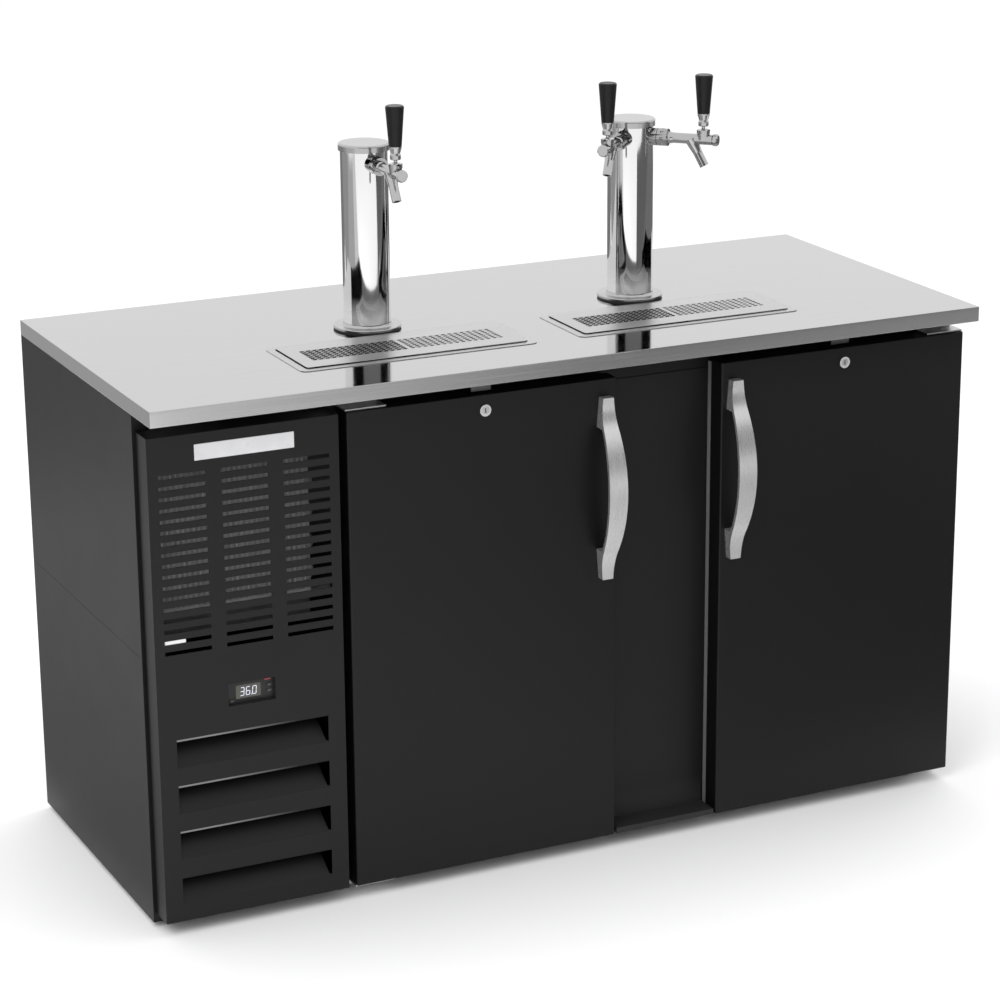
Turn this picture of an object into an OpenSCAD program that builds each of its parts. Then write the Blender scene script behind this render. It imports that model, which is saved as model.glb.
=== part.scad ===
// Draft beer cooler: a two-door back-bar keg cabinet with a side-mounted cooling unit,
// a steel worktop with two drip trays, and two tap towers with three faucets in all.
// Units are millimetres, +Z is up and the front faces -Y.
// The origin is on the floor, under the middle of the bounding box.

/* [Countertop] */
// Width of the worktop slab
top_w = 1524; // [1510:1:1600]
// Depth of the worktop slab, front to back
top_d = 662.5; // [640:0.5:720]
// Thickness of the worktop slab
top_t = 26; // [25:0.5:40]
// How far the slab overhangs the door faces
front_overhang = 40.5; // [30:0.5:46]

/* [Cabinet] */
// Height of the cabinet from the panels' bottom edge to the slab
body_h = 869; // [850:1:920]
// Width of the machine bay at the left
bay_w = 340; // [337:1:350]
// Thickness of the insulated walls
wall_t = 50; // [42:1:54]
// Thickness of the insulated ceiling
ceil_t = 55; // [46:1:65]
// Thickness of the insulated floor
floor_t = 50; // [40:1:60]
// Height of the base pan
base_t = 15; // [13:0.5:18]
// Thickness of the steel sheet
skin_t = 1.5; // [1:0.1:2]
// Thickness of the sheet skins on the insulated panels and doors
panel_skin_t = 1; // [0.8:0.1:1.5]
// Width of the sheet's folded flanges
flange_w = 24; // [15:1:30]
// Height of the seam between the two halves of the end panel, above its bottom edge
side_seam_z = 461; // [300:1:600]
// Width and depth of that seam
seam_w = 1.6; // [1:0.1:3]
// How far the jambs reach behind the doors' edges
jamb_lap = 25; // [24:0.5:30]
// How far the cover of the centre post stands proud
post_cover_t = 1.5; // [1:0.1:3]
// How far the post cover laps over the ceiling's front edge
post_cover_lap = 10; // [5:1:20]
// Height of the toe block at the foot of the centre post
toe_h = 10; // [6:1:30]
// Gap between the toe block and the doors' edges
toe_gap = 4; // [3:0.5:8]

/* [Feet] */
// Height of the levelling feet
foot_h = 10; // [8:1:40]
// Radius of a foot's pad
foot_r = 22; // [15:1:30]
// Radius of a foot's stem
foot_stem_r = 8; // [5:0.5:12]
// Height of a foot's pad
foot_pad_h = 6; // [3:0.5:7]
// How far the feet sit in from the cabinet's sides, front and back
foot_inset = 70; // [50:1:120]

/* [Doors] */
// Width of a door
door_w = 488; // [482:1:492]
// Depth of a door's foamed shell
door_t = 36.5; // [34:0.5:42]
// Radius on a door's upright front edges
door_edge_r = 3; // [1.5:0.5:5]
// Gap between a door's outer edge and the cabinet wall's outer face
door_edge_inset = 3.3; // [2:0.1:5]
// Gap between the doors' top and the slab
door_top_gap = 28; // [24:1:34]
// Height of the doors' bottom above the panels' bottom edge
door_bottom_gap = 15.8; // [15.2:0.1:22]
// Thickness of the door gasket
gasket_t = 12.5; // [10:0.5:16]
// Width of the gasket's section
gasket_w = 12; // [9:0.5:12.5]
// Distance of the gasket from the door's hinge edge
gasket_inset = 11; // [10.5:0.5:12]
// Distance of the gasket from the door's latch edge
gasket_latch_inset = 0.5; // [0.5:0.5:4]
// Distance of the gasket from the door's top edge
gasket_top_inset = 6; // [4:0.5:10]
// Distance of the gasket from the door's bottom edge
gasket_foot_inset = 4; // [2:0.5:8]
// Free gap between the gasket and the cabinet when the door is shut
gasket_gap = 0.5; // [0.3:0.1:1]
// Thickness of the door's inner liner
liner_t = 7.5; // [4:0.5:9]
// Clearance between the liner and the gasket
liner_clear = 0.5; // [0.2:0.1:1]
// Depth and width of the channel pressed into the liner
liner_channel = 3; // [1:0.5:3.5]

/* [Hinges] */
// Distance of the hinge axis from the door's outer edge
pivot_in = 12; // [10.5:0.5:13]
// Distance of the hinge axis behind the door's face
pivot_back = 16; // [14:0.5:17]
// Radius of the hinge pins
hinge_pin_r = 5; // [4:0.5:6]
// Length of a hinge pin inside the door
hinge_pin_l = 18; // [12:1:24]
// Clearance of a pin in its bore, all round and at its end
pin_clear = 0.05; // [0.02:0.01:0.1]
// Thickness of the hinge brackets
hinge_plate_t = 3; // [2:0.5:4]
// Width of a hinge bracket
hinge_w = 72; // [50:1:90]
// Gap between a bracket and the door
hinge_gap = 0.6; // [0.4:0.1:1]

/* [Locks] */
// Distance of the lock from the door's hinged edge
lock_from_hinge = 245; // [200:1:290]
// Distance of the lock below the door's top
lock_below_top = 26; // [24:1:27]
// Radius of the lock's front ring
lock_ring_r = 10; // [9.5:0.5:12]
// How far the front ring stands out
lock_ring_h = 2.5; // [1.5:0.5:4]
// Radius of the lock's barrel
lock_barrel_r = 8.5; // [7.5:0.5:9]
// Length of the barrel inside the door
lock_barrel_l = 19; // [15:0.5:22]
// Radius of the turning plug
plug_r = 6; // [5:0.5:6.5]
// Clearance of the plug in the barrel
plug_clear = 0.05; // [0.02:0.01:0.1]
// Length of the lock's cam from its axis
cam_l = 38; // [37:0.5:40]
// Width of the cam
cam_w = 13; // [10:0.5:15]
// Thickness of the cam
cam_t = 3; // [2:0.5:4]
// Clearance round the cam in its pocket
cam_clear = 0.8; // [0.5:0.1:1.5]
// Width of the strike plate above the lock
strike_w = 36; // [30:1:60]
// Thickness of the strike plate
strike_t = 2.5; // [1.5:0.5:3]
// Gap between the strike's lip and the door's top
strike_gap = 3; // [2:0.5:4]
// Gap between the strike's lip and the raised cam
strike_play = 2; // [1:0.5:3]

/* [Door handles] */
// Length of a bow handle
handle_l = 318; // [300:1:340]
// How far the bow stands out from the door
handle_out = 55.5; // [52:0.5:60]
// Height of the handle's feet
handle_foot_h = 16; // [12:0.5:20]
// Length of the handle's feet
handle_foot_l = 52; // [44:1:58]
// Radius of the bow
handle_bow_r = 215; // [205:1:225]
// Radius of the sweep from the bow into a foot
handle_sweep_r = 85; // [75:1:90]
// Thickness of the bow's strap
handle_strap_t = 6; // [5:0.5:9]
// Width of the handle at its ends
handle_end_w = 19.5; // [16:0.5:24]
// Width of the handle at its middle
handle_mid_w = 34; // [28:0.5:38]
// Distance of the handle's middle line from the door's latch edge
handle_from_latch = 23.5; // [20:0.5:40]
// Distance of the handle's top below the door's top
handle_below_top = 29; // [20:1:60]

/* [Grille panel] */
// Distance of the grille panel from the cabinet's left side
grille_inset = 5.5; // [2:0.5:8]
// Gap between the grille panel and the left door
grille_gap = 14.5; // [13:0.5:16]
// Number of slot columns
slot_cols = 3; // [2:1:4]
// Number of slot rows
slot_rows = 17; // [10:1:18]
// Length of a slot
slot_l = 79; // [60:1:80]
// Height of a slot
slot_h = 6.6; // [5:0.2:9]
// Distance between slot columns
slot_col_pitch = 105; // [95:1:106]
// Distance between slot rows
slot_row_pitch = 18.3; // [14:0.1:18.5]
// Distance of the top slots below the panel's top
slot_below_top = 66; // [60:1:80]
// Number of louvre scoops
scoop_count = 4; // [2:1:4]
// Width of a scoop
scoop_w = 263; // [200:1:280]
// Height of a scoop's mouth
scoop_h = 47; // [35:1:55]
// Depth of a scoop at its top
scoop_d = 40; // [25:1:42]
// Radius of the rolled lip over a scoop
scoop_lip_r = 2.4; // [1.5:0.1:3]
// Distance between scoops
scoop_pitch = 79.7; // [70:0.1:82]
// Height of the lowest scoop's foot above the panel's bottom
scoop_foot = 30; // [20:1:40]

/* [Controller] */
// Width of the window for the temperature controller
ctrl_w = 81; // [70:1:90]
// Height of the window
ctrl_h = 38; // [34:1:44]
// Distance of the window's middle below the panel's top
ctrl_below_top = 446; // [430:1:450]
// Depth of the controller's face behind the panel's sheet
ctrl_recess = 7; // [4:0.5:10]
// Rim of the controller's case round the window
ctrl_rim = 3; // [2:0.5:4]
// Depth of the case behind the face
ctrl_case_d = 48; // [30:1:60]
// Thickness of the face plate
ctrl_face_t = 2; // [1.5:0.1:2.5]
// Width of a key
key_w = 8; // [6:0.5:10]
// Height of a key
key_h = 5; // [4:0.5:6]
// How far a key stands out of the face
key_out = 1.2; // [1:0.1:2]
// Travel of a key
key_travel = 0.8; // [0.5:0.1:0.9]
// Clearance round a key
key_clear = 0.3; // [0.2:0.05:0.5]

/* [Drip trays] */
// Distance of the trays and towers from their middle line
station_x = 252; // [245:1:270]
// Distance of that middle line from the slab's middle
station_mid = 2.5; // [0:0.5:5]
// Distance of the tray's middle from the slab's front edge
tray_y = 201; // [195:1:215]
// Width of the tray's flange
tray_w = 426; // [410:1:440]
// Depth of the tray's flange, front to back
tray_d = 170; // [165:1:180]
// Corner radius of the flange
tray_corner_r = 14; // [8:1:20]
// Thickness of the tray's sheet
tray_sheet_t = 1.2; // [0.8:0.1:1.5]
// Width of the flange round the recess
tray_rim_w = 13; // [10:0.5:16]
// Depth of the step that carries the grate, below the flange's top
tray_step_d = 5; // [4:0.5:7]
// Width of the step
tray_step_w = 5; // [4:0.5:8]
// Depth of the basin below the flange's top
tray_basin_d = 22; // [16:0.5:23]
// Clearance between the tray and the cut-out in the slab
tray_clear = 0.6; // [0.4:0.1:1.5]
// Radius of the drain stub
drain_r = 9; // [7:0.5:11]
// Radius of the hose tail at the drain's foot
drain_tail_r = 8; // [7:0.5:8.5]
// Radius of the drain's bore
drain_bore_r = 6; // [4:0.5:6.5]
// Length of the hose tail below the ceiling
drain_out = 28; // [20:1:40]
// Clearance round the drain stub in the ceiling
drain_clear = 1; // [0.5:0.5:2]
// Thickness of the drip grate's sheet
grate_t = 1.2; // [0.8:0.1:1.5]
// How far the grate stands above the tray's flange
grate_rise = 2; // [1:0.5:4]
// Clearance round the grate
grate_clear = 2; // [1:0.5:2.5]
// Gap under the grate at rest
grate_gap = 0.2; // [0.1:0.1:0.4]
// Radius of a drip hole
grate_hole_r = 3.4; // [2.5:0.1:3.8]
// Distance between drip holes in a row
grate_pitch = 11.5; // [9:0.5:12]
// Distance between rows of drip holes
grate_row_pitch = 9.5; // [8:0.1:10]
// Number of holes in a row of one zone
grate_cols = 15; // [8:1:15]
// Number of rows of holes
grate_rows = 7; // [3:1:7]
// Width of the plain web between the two zones of holes
grate_web = 14; // [8:1:20]

/* [Towers] */
// Distance of the towers' axes from the slab's front edge
tower_y = 347; // [346:1:360]
// Outer radius of a tower's column
column_r = 40; // [37:0.5:41]
// Wall of a tower's column
column_wall = 2; // [1.5:0.1:3]
// Height of a tower's top above the worktop
tower_h = 318; // [300:1:340]
// Outer radius of a tower's cap
cap_r = 43.5; // [42:0.5:46]
// Height of the cap's rim
cap_rim_h = 12; // [8:0.5:16]
// Thickness of the cap's top
cap_t = 3; // [2:0.5:4]
// Radius on the cap's top edge
cap_edge_r = 3; // [1:0.5:4]
// Outer radius of a tower's base flange
base_r = 58; // [54:0.5:58.5]
// Thickness of the base flange
base_flange_t = 4; // [3:0.5:6]
// Height of the collar on the base flange
base_collar_h = 9; // [7:0.5:12]
// Bevel on the flange's and the collar's edges
base_bevel = 1; // [0.5:0.1:1.5]
// Thickness of the rubber ring under the flange
base_seal_t = 3; // [2:0.5:4]
// Radius of the beer line hole under a tower
line_hole_r = 28; // [20:1:30]

/* [Faucets] */
// Distance of the shanks below the tower's top
shank_below_top = 30.5; // [28:0.5:40]
// Turn of the right tower's two faucets away from the front
faucet_turn = 45; // [42:1:60]
// Radius of a shank
shank_r = 11; // [9:0.5:11.5]
// Radius of the shank's collar on the column
shank_collar_r = 15; // [13:0.5:16]
// Length of the shank outside the column
shank_out = 17; // [16:0.5:22]
// Length of the shank inside the column
shank_in = 12; // [8:0.5:13]
// Radius of the beer passage
passage_r = 4; // [3:0.5:5]
// Radius of the coupling nut
nut_r = 15; // [14:0.5:16]
// Length of the coupling nut
nut_l = 18; // [14:0.5:22]
// Gap between the shank's collar and the nut
nut_gap = 1; // [0.5:0.1:1.5]
// Number of spanner notches in the nut
notches = 8; // [4:1:12]
// Radius of a spanner notch
notch_r = 2; // [1.5:0.1:2.5]
// Step from the shank down to the faucet's tail
tail_step = 1.5; // [1:0.1:2]
// Radius of the faucet's barrel
barrel_r = 9; // [8.5:0.1:9.8]
// Length of the barrel's shoulder behind the nut
shoulder_l = 5; // [4:0.5:6]
// How far that shoulder stands out
shoulder_out = 1; // [0.5:0.1:1.2]
// Distance from the tower's axis to the lever's ball
lever_x = 132; // [126:1:140]
// Length of the barrel in front of the lever
nose_l = 27; // [24:1:32]
// Radius of the ring at the barrel's nose
nose_r = 10.4; // [10:0.1:11]
// Bevel on the barrel's nose
nose_bevel = 2; // [1:0.1:2.5]
// Radius of the boss that carries the lever
boss_r = 10.6; // [10.4:0.1:11]
// Radius of the well inside the boss
well_r = 8.6; // [8.5:0.1:8.9]
// Height of the boss above the barrel's axis
boss_h = 10; // [9.8:0.1:10.4]
// Lean of the spout from the vertical
spout_lean = 28; // [20:1:32]
// Distance of the spout's root behind the lever
spout_back = 22; // [18:1:24]
// Drop of the spout's tip below the barrel's axis
spout_drop = 46; // [40:0.5:54]
// Outer radius of the spout
spout_r = 8; // [7.5:0.1:8.4]
// How far the spout flares at its root
spout_flare = 3.5; // [2:0.1:4]
// Radius of the spout's bore
spout_bore_r = 5.2; // [4:0.1:5.5]
// Radius of the valve shaft's bore in the barrel
valve_bore_r = 5.6; // [5.4:0.1:5.8]
// Clearance of the valve shaft in its bore
valve_clear = 0.08; // [0.04:0.02:0.1]

// Length of the notch in the valve shaft
valve_notch_l = 11; // [10:0.5:12]
// Length of the valve's seat
valve_seat_l = 5; // [4:0.5:6]

/* [Tap levers] */
// Height of the ball's centre above the barrel's axis
ball_z = 14; // [13.8:0.1:14.2]
// Radius of the lever's ball
ball_r = 6.2; // [6:0.1:6.4]
// Clearance of the ball in the bonnet
ball_clear = 0.1; // [0.06:0.02:0.15]
// Outer radius of the bonnet
bonnet_r = 11.4; // [11.2:0.1:12]
// Height of the bonnet's top above the ball's centre
bonnet_top = 3; // [2.8:0.1:3.2]
// Depth of the seat under the ball in the bonnet
bonnet_seat = 2; // [1.5:0.1:2.5]
// Radius of the pin across the ball on which the lever turns
lever_pin_r = 1.5; // [1.2:0.1:1.8]
// Length of that pin
lever_pin_l = 20; // [17:0.5:21.5]
// Radius of the lever's stem
stem_r = 3; // [2.6:0.1:3.2]
// Radius of the lever's lower arm
arm_r = 1.6; // [1.4:0.1:1.7]
// Radius of the arm's ball tip
tip_r = 2.4; // [2.1:0.1:2.4]
// Height of the ferrule's foot above the ball's centre
ferrule_z = 9.5; // [9:0.1:11]
// Length of the ferrule
ferrule_l = 22; // [16:0.5:30]
// Radius of the ferrule's foot
ferrule_r = 9; // [8:0.1:9.4]
// Bevels on the ferrule
ferrule_bevel = 1; // [0.5:0.1:1.5]
// Length of the black tap handle
knob_l = 67; // [55:1:110]
// Radius of the tap handle's foot
knob_foot_r = 10.7; // [9.5:0.1:12]
// Radius of the tap handle's top
knob_top_r = 15.6; // [13:0.1:20]
// Radius on the tap handle's top edge
knob_edge_r = 2; // [1:0.5:3]

/* [Cooling unit] */
// Width of the condenser's fin block
cond_w = 270; // [250:1:276]
// Height of the fin block
cond_h = 258; // [240:1:270]
// Depth of the fin block
cond_d = 52; // [40:1:60]
// Distance of the condenser from the bay's left side
cond_x = 26; // [16:1:28]
// Distance of the condenser's top below the slab
cond_below_top = 79; // [70:1:90]
// Gap between the grille's flange and the condenser
cond_back = 6; // [3:0.5:12]
// Number of grooves between the fins
fin_count = 30; // [10:1:32]
// Width of a groove between fins
fin_gap = 6; // [3:0.5:7]
// Depth of the grooves between fins
fin_d = 38; // [8:0.5:39]
// Height of the rail that carries the condenser
rail_h = 8; // [6:0.5:12]
// Radius of the condenser fan
fan_r = 108; // [90:1:112]
// Clearance between a fan and its ring, guard and motor
fan_clear = 5; // [3:0.5:8]
// Number of fan blades
blade_count = 5; // [3:1:6]
// Pitch of the fan blades
blade_pitch = 28; // [20:1:32]
// Chord of a fan blade
blade_chord = 44; // [30:1:46]
// Thickness of a fan blade
blade_t = 2; // [1.5:0.1:3]
// Radius of the fan's hub
hub_r = 26; // [20:1:30]
// Radius of a fan motor's shaft
motor_shaft_r = 4; // [3:0.5:5]
// Clearance of a fan's hub on its shaft
hub_clear = 0.05; // [0.02:0.01:0.1]
// Radius of a fan motor
motor_r = 32; // [24:1:36]
// Length of a fan motor
motor_l = 46; // [36:1:60]
// Width of the arms that carry a fan motor
motor_arm_w = 14; // [10:1:18]
// Radius of the compressor's shell
comp_r = 86; // [70:1:95]
// Height of the compressor's shell
comp_h = 190; // [160:1:220]
// Height of the dome on the shell
comp_dome_h = 34; // [20:1:50]
// Wall of the shell
comp_wall = 6; // [3:0.5:8]
// Height of the compressor's rubber mounts
comp_mount_h = 14; // [10:1:20]
// Distance of the compressor's axis behind the cabinet's front
comp_back = 380; // [320:1:420]

/* [Evaporator] */
// Width of the evaporator's housing, out from the divider
evap_w = 90; // [84:1:92]
// Depth of the housing, front to back
evap_d = 330; // [240:1:340]
// Height of the housing
evap_h = 270; // [230:1:300]
// Distance of the housing behind the cabinet's front
evap_back = 175; // [160:1:180]
// Thickness of the evaporator's fin block
evap_coil_w = 26; // [20:1:28]
// Chord of an evaporator fan blade
evap_chord = 22; // [16:1:24]
// Radius of the evaporator fan
evap_fan_r = 78; // [60:1:84]

/* [Hidden] */
$fn = 96;

// Small overlap that lets a cut run clear of a face
cut = 1;

// Outer planes of the cabinet, measured from the origin
handle_proud = max(0, handle_out - front_overhang);
x_left = -top_w / 2;
x_right = top_w / 2;
y_front = handle_proud - (top_d + handle_proud) / 2;
y_back = y_front + top_d;
y_door = y_front + front_overhang;
front_t = door_t + gasket_t + gasket_gap;
y_carc = y_door + front_t;
z_panel = foot_h;
z_slab = z_panel + body_h;
z_top = z_slab + top_t;

// Planes inside the cabinet
x_bay = x_left + bay_w;
x_keg = x_bay + wall_t;
x_keg_end = x_right - wall_t;
y_keg_end = y_back - wall_t;
z_base = z_panel + base_t;
z_floor = z_base + floor_t;
z_ceil = z_slab - ceil_t;

// Doors
door_h = body_h - door_top_gap - door_bottom_gap;
z_door = z_panel + door_bottom_gap;
z_door_top = z_door + door_h;
x_door_l = x_bay + door_edge_inset;
x_door_r = x_right - door_edge_inset;
x_latch_l = x_door_l + door_w;
x_latch_r = x_door_r - door_w;
x_post = x_latch_l - jamb_lap;
x_post_end = x_latch_r + jamb_lap;

// Locks: the cam lies level in a pocket in the door and rises behind the strike's lip
cam_y = lock_barrel_l + cam_clear;
lip_y = cam_y - strike_play - strike_t;

// Grille panel
x_grille = x_left + grille_inset;
x_grille_end = x_door_l - grille_gap;
x_grille_mid = (x_grille + x_grille_end) / 2;
z_ctrl = z_door_top - ctrl_below_top;

// Controller's keys: place on the face as offsets from its middle
key_side = ctrl_w / 2 - key_w;
key_drop = ctrl_h / 2 - key_h;
key_places = [[-key_side, -key_drop], [key_side, key_h], [key_side, -key_h]];

scoop_slope = scoop_h / scoop_d;

// Drip trays
recess_w = tray_w - 2 * tray_rim_w;
recess_d = tray_d - 2 * tray_rim_w;
recess_r = max(tray_corner_r - tray_rim_w / 2, tray_step_w);
basin_w = recess_w - 2 * tray_step_w;
basin_d = recess_d - 2 * tray_step_w;
z_flange = z_top + tray_sheet_t;
z_step = z_flange - tray_step_d;
z_grate = z_step + grate_gap;

// Towers
tower_xs = [station_mid - station_x, station_mid + station_x];
y_tower = y_front + tower_y;
z_seal = z_top + base_seal_t;
z_tower_top = z_top + tower_h;
z_column_top = z_tower_top - cap_t;
z_shank = z_tower_top - shank_below_top;

// Faucets: the tower that carries each one and its turn from the front
taps = ["left", "middle", "right"];
tap_tower = [0, 1, 1];
tap_turn = [0, -faucet_turn, faucet_turn];
x_nut = column_r + shank_out - nut_l / 3;
x_nut_end = x_nut + nut_l;
x_tail = column_r + shank_out;
x_nose = lever_x + nose_l;
x_spout = lever_x - spout_back;
spout_l = spout_drop / cos(spout_lean);
tail_r = shank_r - tail_step;
z_knob = ball_z + ferrule_z + ferrule_l;

// Cooling unit
x_cond = x_left + cond_x;
y_cond = y_carc + cond_back;
y_cond_end = y_cond + cond_d;
z_cond_top = z_slab - cond_below_top;
z_cond = z_cond_top - cond_h;
x_fan = x_cond + cond_w / 2;
z_fan = (z_cond + z_cond_top) / 2;
fan_depth = blade_chord * sin(blade_pitch) + blade_t * cos(blade_pitch);
fan_ring_d = fan_depth + 2 * fan_clear;
y_fan = y_cond_end + fan_ring_d / 2;

// Evaporator
y_evap = y_carc + evap_back;
z_evap = z_ceil - evap_h;
y_evap_fan = y_evap + evap_d / 2;
z_evap_fan = z_evap + evap_h / 2;
x_evap_face = x_keg + evap_w - skin_t;
evap_fan_depth = evap_chord * sin(blade_pitch) + blade_t * cos(blade_pitch);
x_evap_fan = x_evap_face - fan_clear - evap_fan_depth / 2;
evap_motor_l = x_evap_fan - evap_fan_depth / 2 - fan_clear - (x_keg + evap_coil_w + fan_clear);
x_evap_motor = x_keg + evap_coil_w + fan_clear;

black = [0.13, 0.13, 0.135];
steel = [0.78, 0.78, 0.78];
chrome = [0.86, 0.87, 0.88];
zinc = [0.62, 0.63, 0.65];
rubber = [0.07, 0.07, 0.07];
grey = [0.55, 0.55, 0.56];
white = [0.85, 0.85, 0.84];
copper = [0.72, 0.45, 0.3];

// Box between two opposite corners
module block(a, b) {
    translate(a)
        cube(b - a);
}

// Sheet box between two opposite corners, open on the side that the vector points to
module shell(a, b, skin, open) {
    inner_a = [for (i = [0 : 2]) open[i] < 0 ? a[i] - cut : a[i] + skin];
    inner_b = [for (i = [0 : 2]) open[i] > 0 ? b[i] + cut : b[i] - skin];
    difference() {
        block(a, b);
        block(inner_a, inner_b);
    }
}

// Flat outline with rounded corners, centred on the origin
module rounded(w, d, r) {
    square([w - 2 * r, d], center = true);
    square([w, d - 2 * r], center = true);
    for (sx = [-1, 1], sy = [-1, 1])
        translate([sx * (w / 2 - r), sy * (d / 2 - r)])
            circle(r);
}

// Cylinder along +Y from the origin
module along_y(h, r) {
    rotate([-90, 0, 0])
        cylinder(h = h, r = r);
}

// Cylinder along +X from the origin
module along_x(h, r) {
    rotate([0, 90, 0])
        cylinder(h = h, r = r);
}

// Frame of a door: origin at the foot of its hinged edge, on its face, +X towards the latch
module on_door(side) {
    if (side == "left")
        translate([x_door_l, y_door, z_door])
            children();
    else
        translate([x_door_r, y_door, z_door])
            mirror([1, 0, 0])
                children();
}

// Frame of a faucet: origin where its shank meets the tower's axis, +X out of the tower
module on_tap(i) {
    translate([tower_xs[tap_tower[i]], y_tower, z_shank])
        rotate([0, 0, tap_turn[i] - 90])
            children();
}

// Frame of the controller's face: origin at its middle, on the back of the panel's sheet
module on_controller() {
    translate([x_grille_mid, y_door + skin_t, z_ctrl])
        children();
}

// Cabinet

// Folded pan, open below
module base_pan() {
    color(black)
        shell([x_left + skin_t, y_carc, z_panel], [x_keg_end, y_back, z_base], skin_t, [0, 0, -1]);
}

// Feet whose stems reach up to the base pan's sheet
module levelling_feet() {
    color(rubber)
        for (x = [x_left + foot_inset, x_keg_end - foot_inset],
             y = [y_carc + foot_inset, y_back - foot_inset])
            translate([x, y, 0]) {
                cylinder(h = foot_pad_h, r1 = foot_r, r2 = foot_r - foot_pad_h / 3);
                cylinder(h = foot_h + base_t - skin_t, r = foot_stem_r);
            }
}

// Folded sheet: a flat side with a flange turned in at the front and the back
module left_end_panel() {
    color(black)
        difference() {
            union() {
                block([x_left, y_carc, z_panel], [x_left + skin_t, y_back, z_slab]);
                block([x_left, y_carc, z_base], [x_left + flange_w, y_carc + skin_t, z_slab]);
                block([x_left, y_back - 2 * skin_t, z_base],
                      [x_left + flange_w, y_back - skin_t, z_slab]);
            }
            block([x_left - cut, y_carc - cut, z_panel + side_seam_z],
                  [x_left + seam_w / 4, y_back + cut, z_panel + side_seam_z + seam_w]);
            block([x_left + skin_t, y_back - skin_t, z_panel - cut],
                  [x_left + flange_w + cut, y_back + cut, z_slab + cut]);
        }
}

// Insulated panels are sheet skins, each open on a side that another panel covers

module right_wall() {
    color(black)
        shell([x_keg_end, y_carc, z_panel], [x_right, y_back, z_slab], panel_skin_t, [0, 0, -1]);
}

module rear_wall() {
    color(black)
        shell([x_bay, y_keg_end, z_base], [x_keg_end, y_back, z_slab], panel_skin_t, [0, 0, -1]);
}

module divider_wall() {
    color(black)
        shell([x_bay, y_carc, z_floor], [x_keg, y_keg_end, z_ceil], panel_skin_t, [0, 0, -1]);
}

module floor_panel() {
    color(grey)
        shell([x_bay, y_carc, z_base], [x_keg_end, y_keg_end, z_floor], panel_skin_t, [0, 0, -1]);
}

// Upright rounds for the beer line holes and the drain holes, grown by a wall
module ceiling_holes(z0, z1, wall) {
    for (x = tower_xs) {
        translate([x, y_tower, z0])
            cylinder(h = z1 - z0, r = line_hole_r + wall);
        translate([x, y_front + tray_y, z0])
            cylinder(h = z1 - z0, r = drain_r + drain_clear + wall);
    }
}

// Insulated ceiling with a sleeve under each tower and under each tray's drain
module ceiling_panel() {
    color(grey)
        difference() {
            union() {
                shell([x_bay, y_carc, z_ceil], [x_keg_end, y_keg_end, z_slab], panel_skin_t, [0, 0, 1]);
                ceiling_holes(z_ceil, z_slab, panel_skin_t);
            }
            ceiling_holes(z_ceil - cut, z_slab + cut, 0);
        }
}

// Fixed post between the doors, with its cover sheet and the toe block at its foot
module mullion_post() {
    cover_l = x_latch_l - gasket_latch_inset + toe_gap;
    cover_r = x_latch_r + gasket_latch_inset - toe_gap;
    color(black) {
        shell([x_post, y_carc, z_floor], [x_post_end, y_carc + wall_t, z_ceil], panel_skin_t, [0, 0, 1]);
        block([cover_l, y_carc - post_cover_t, z_base], [cover_r, y_carc, z_ceil + post_cover_lap]);
        shell([x_latch_l + toe_gap, y_door, z_door],
              [x_latch_r - toe_gap, y_carc, z_door + toe_h], skin_t, [0, 0, -1]);
    }
}

// Louvred cover over the back of the machine bay
module machine_rear_cover() {
    louvre_l = bay_w - 4 * flange_w;
    louvre_pitch = 3 * slot_h;
    color(black)
        difference() {
            block([x_left + skin_t, y_back - skin_t, z_base], [x_bay, y_back, z_slab]);
            for (i = [0 : slot_rows - 1])
                translate([x_left + bay_w / 2, y_back - skin_t / 2,
                           z_slab - slot_below_top - i * louvre_pitch])
                    cube([louvre_l, 2 * skin_t, slot_h], center = true);
        }
}

// Upright outlines of the tray cut-outs and the tower holes, grown by a wall
module slab_holes(z0, z1, wall) {
    grow = tray_sheet_t + tray_clear + wall;
    for (x = tower_xs) {
        translate([x, y_front + tray_y, z0])
            linear_extrude(z1 - z0)
                rounded(recess_w + 2 * grow, recess_d + 2 * grow, recess_r + grow);
        translate([x, y_tower, z0])
            cylinder(h = z1 - z0, r = line_hole_r + wall);
    }
}

// Folded pan, open below, with a hem round each cut-out
module countertop() {
    color(steel)
        difference() {
            union() {
                shell([x_left, y_front, z_slab], [x_right, y_back, z_top], skin_t, [0, 0, -1]);
                slab_holes(z_slab, z_top, skin_t);
            }
            slab_holes(z_slab - cut, z_top + cut, 0);
        }
}

// Drip trays and their grates

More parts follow.
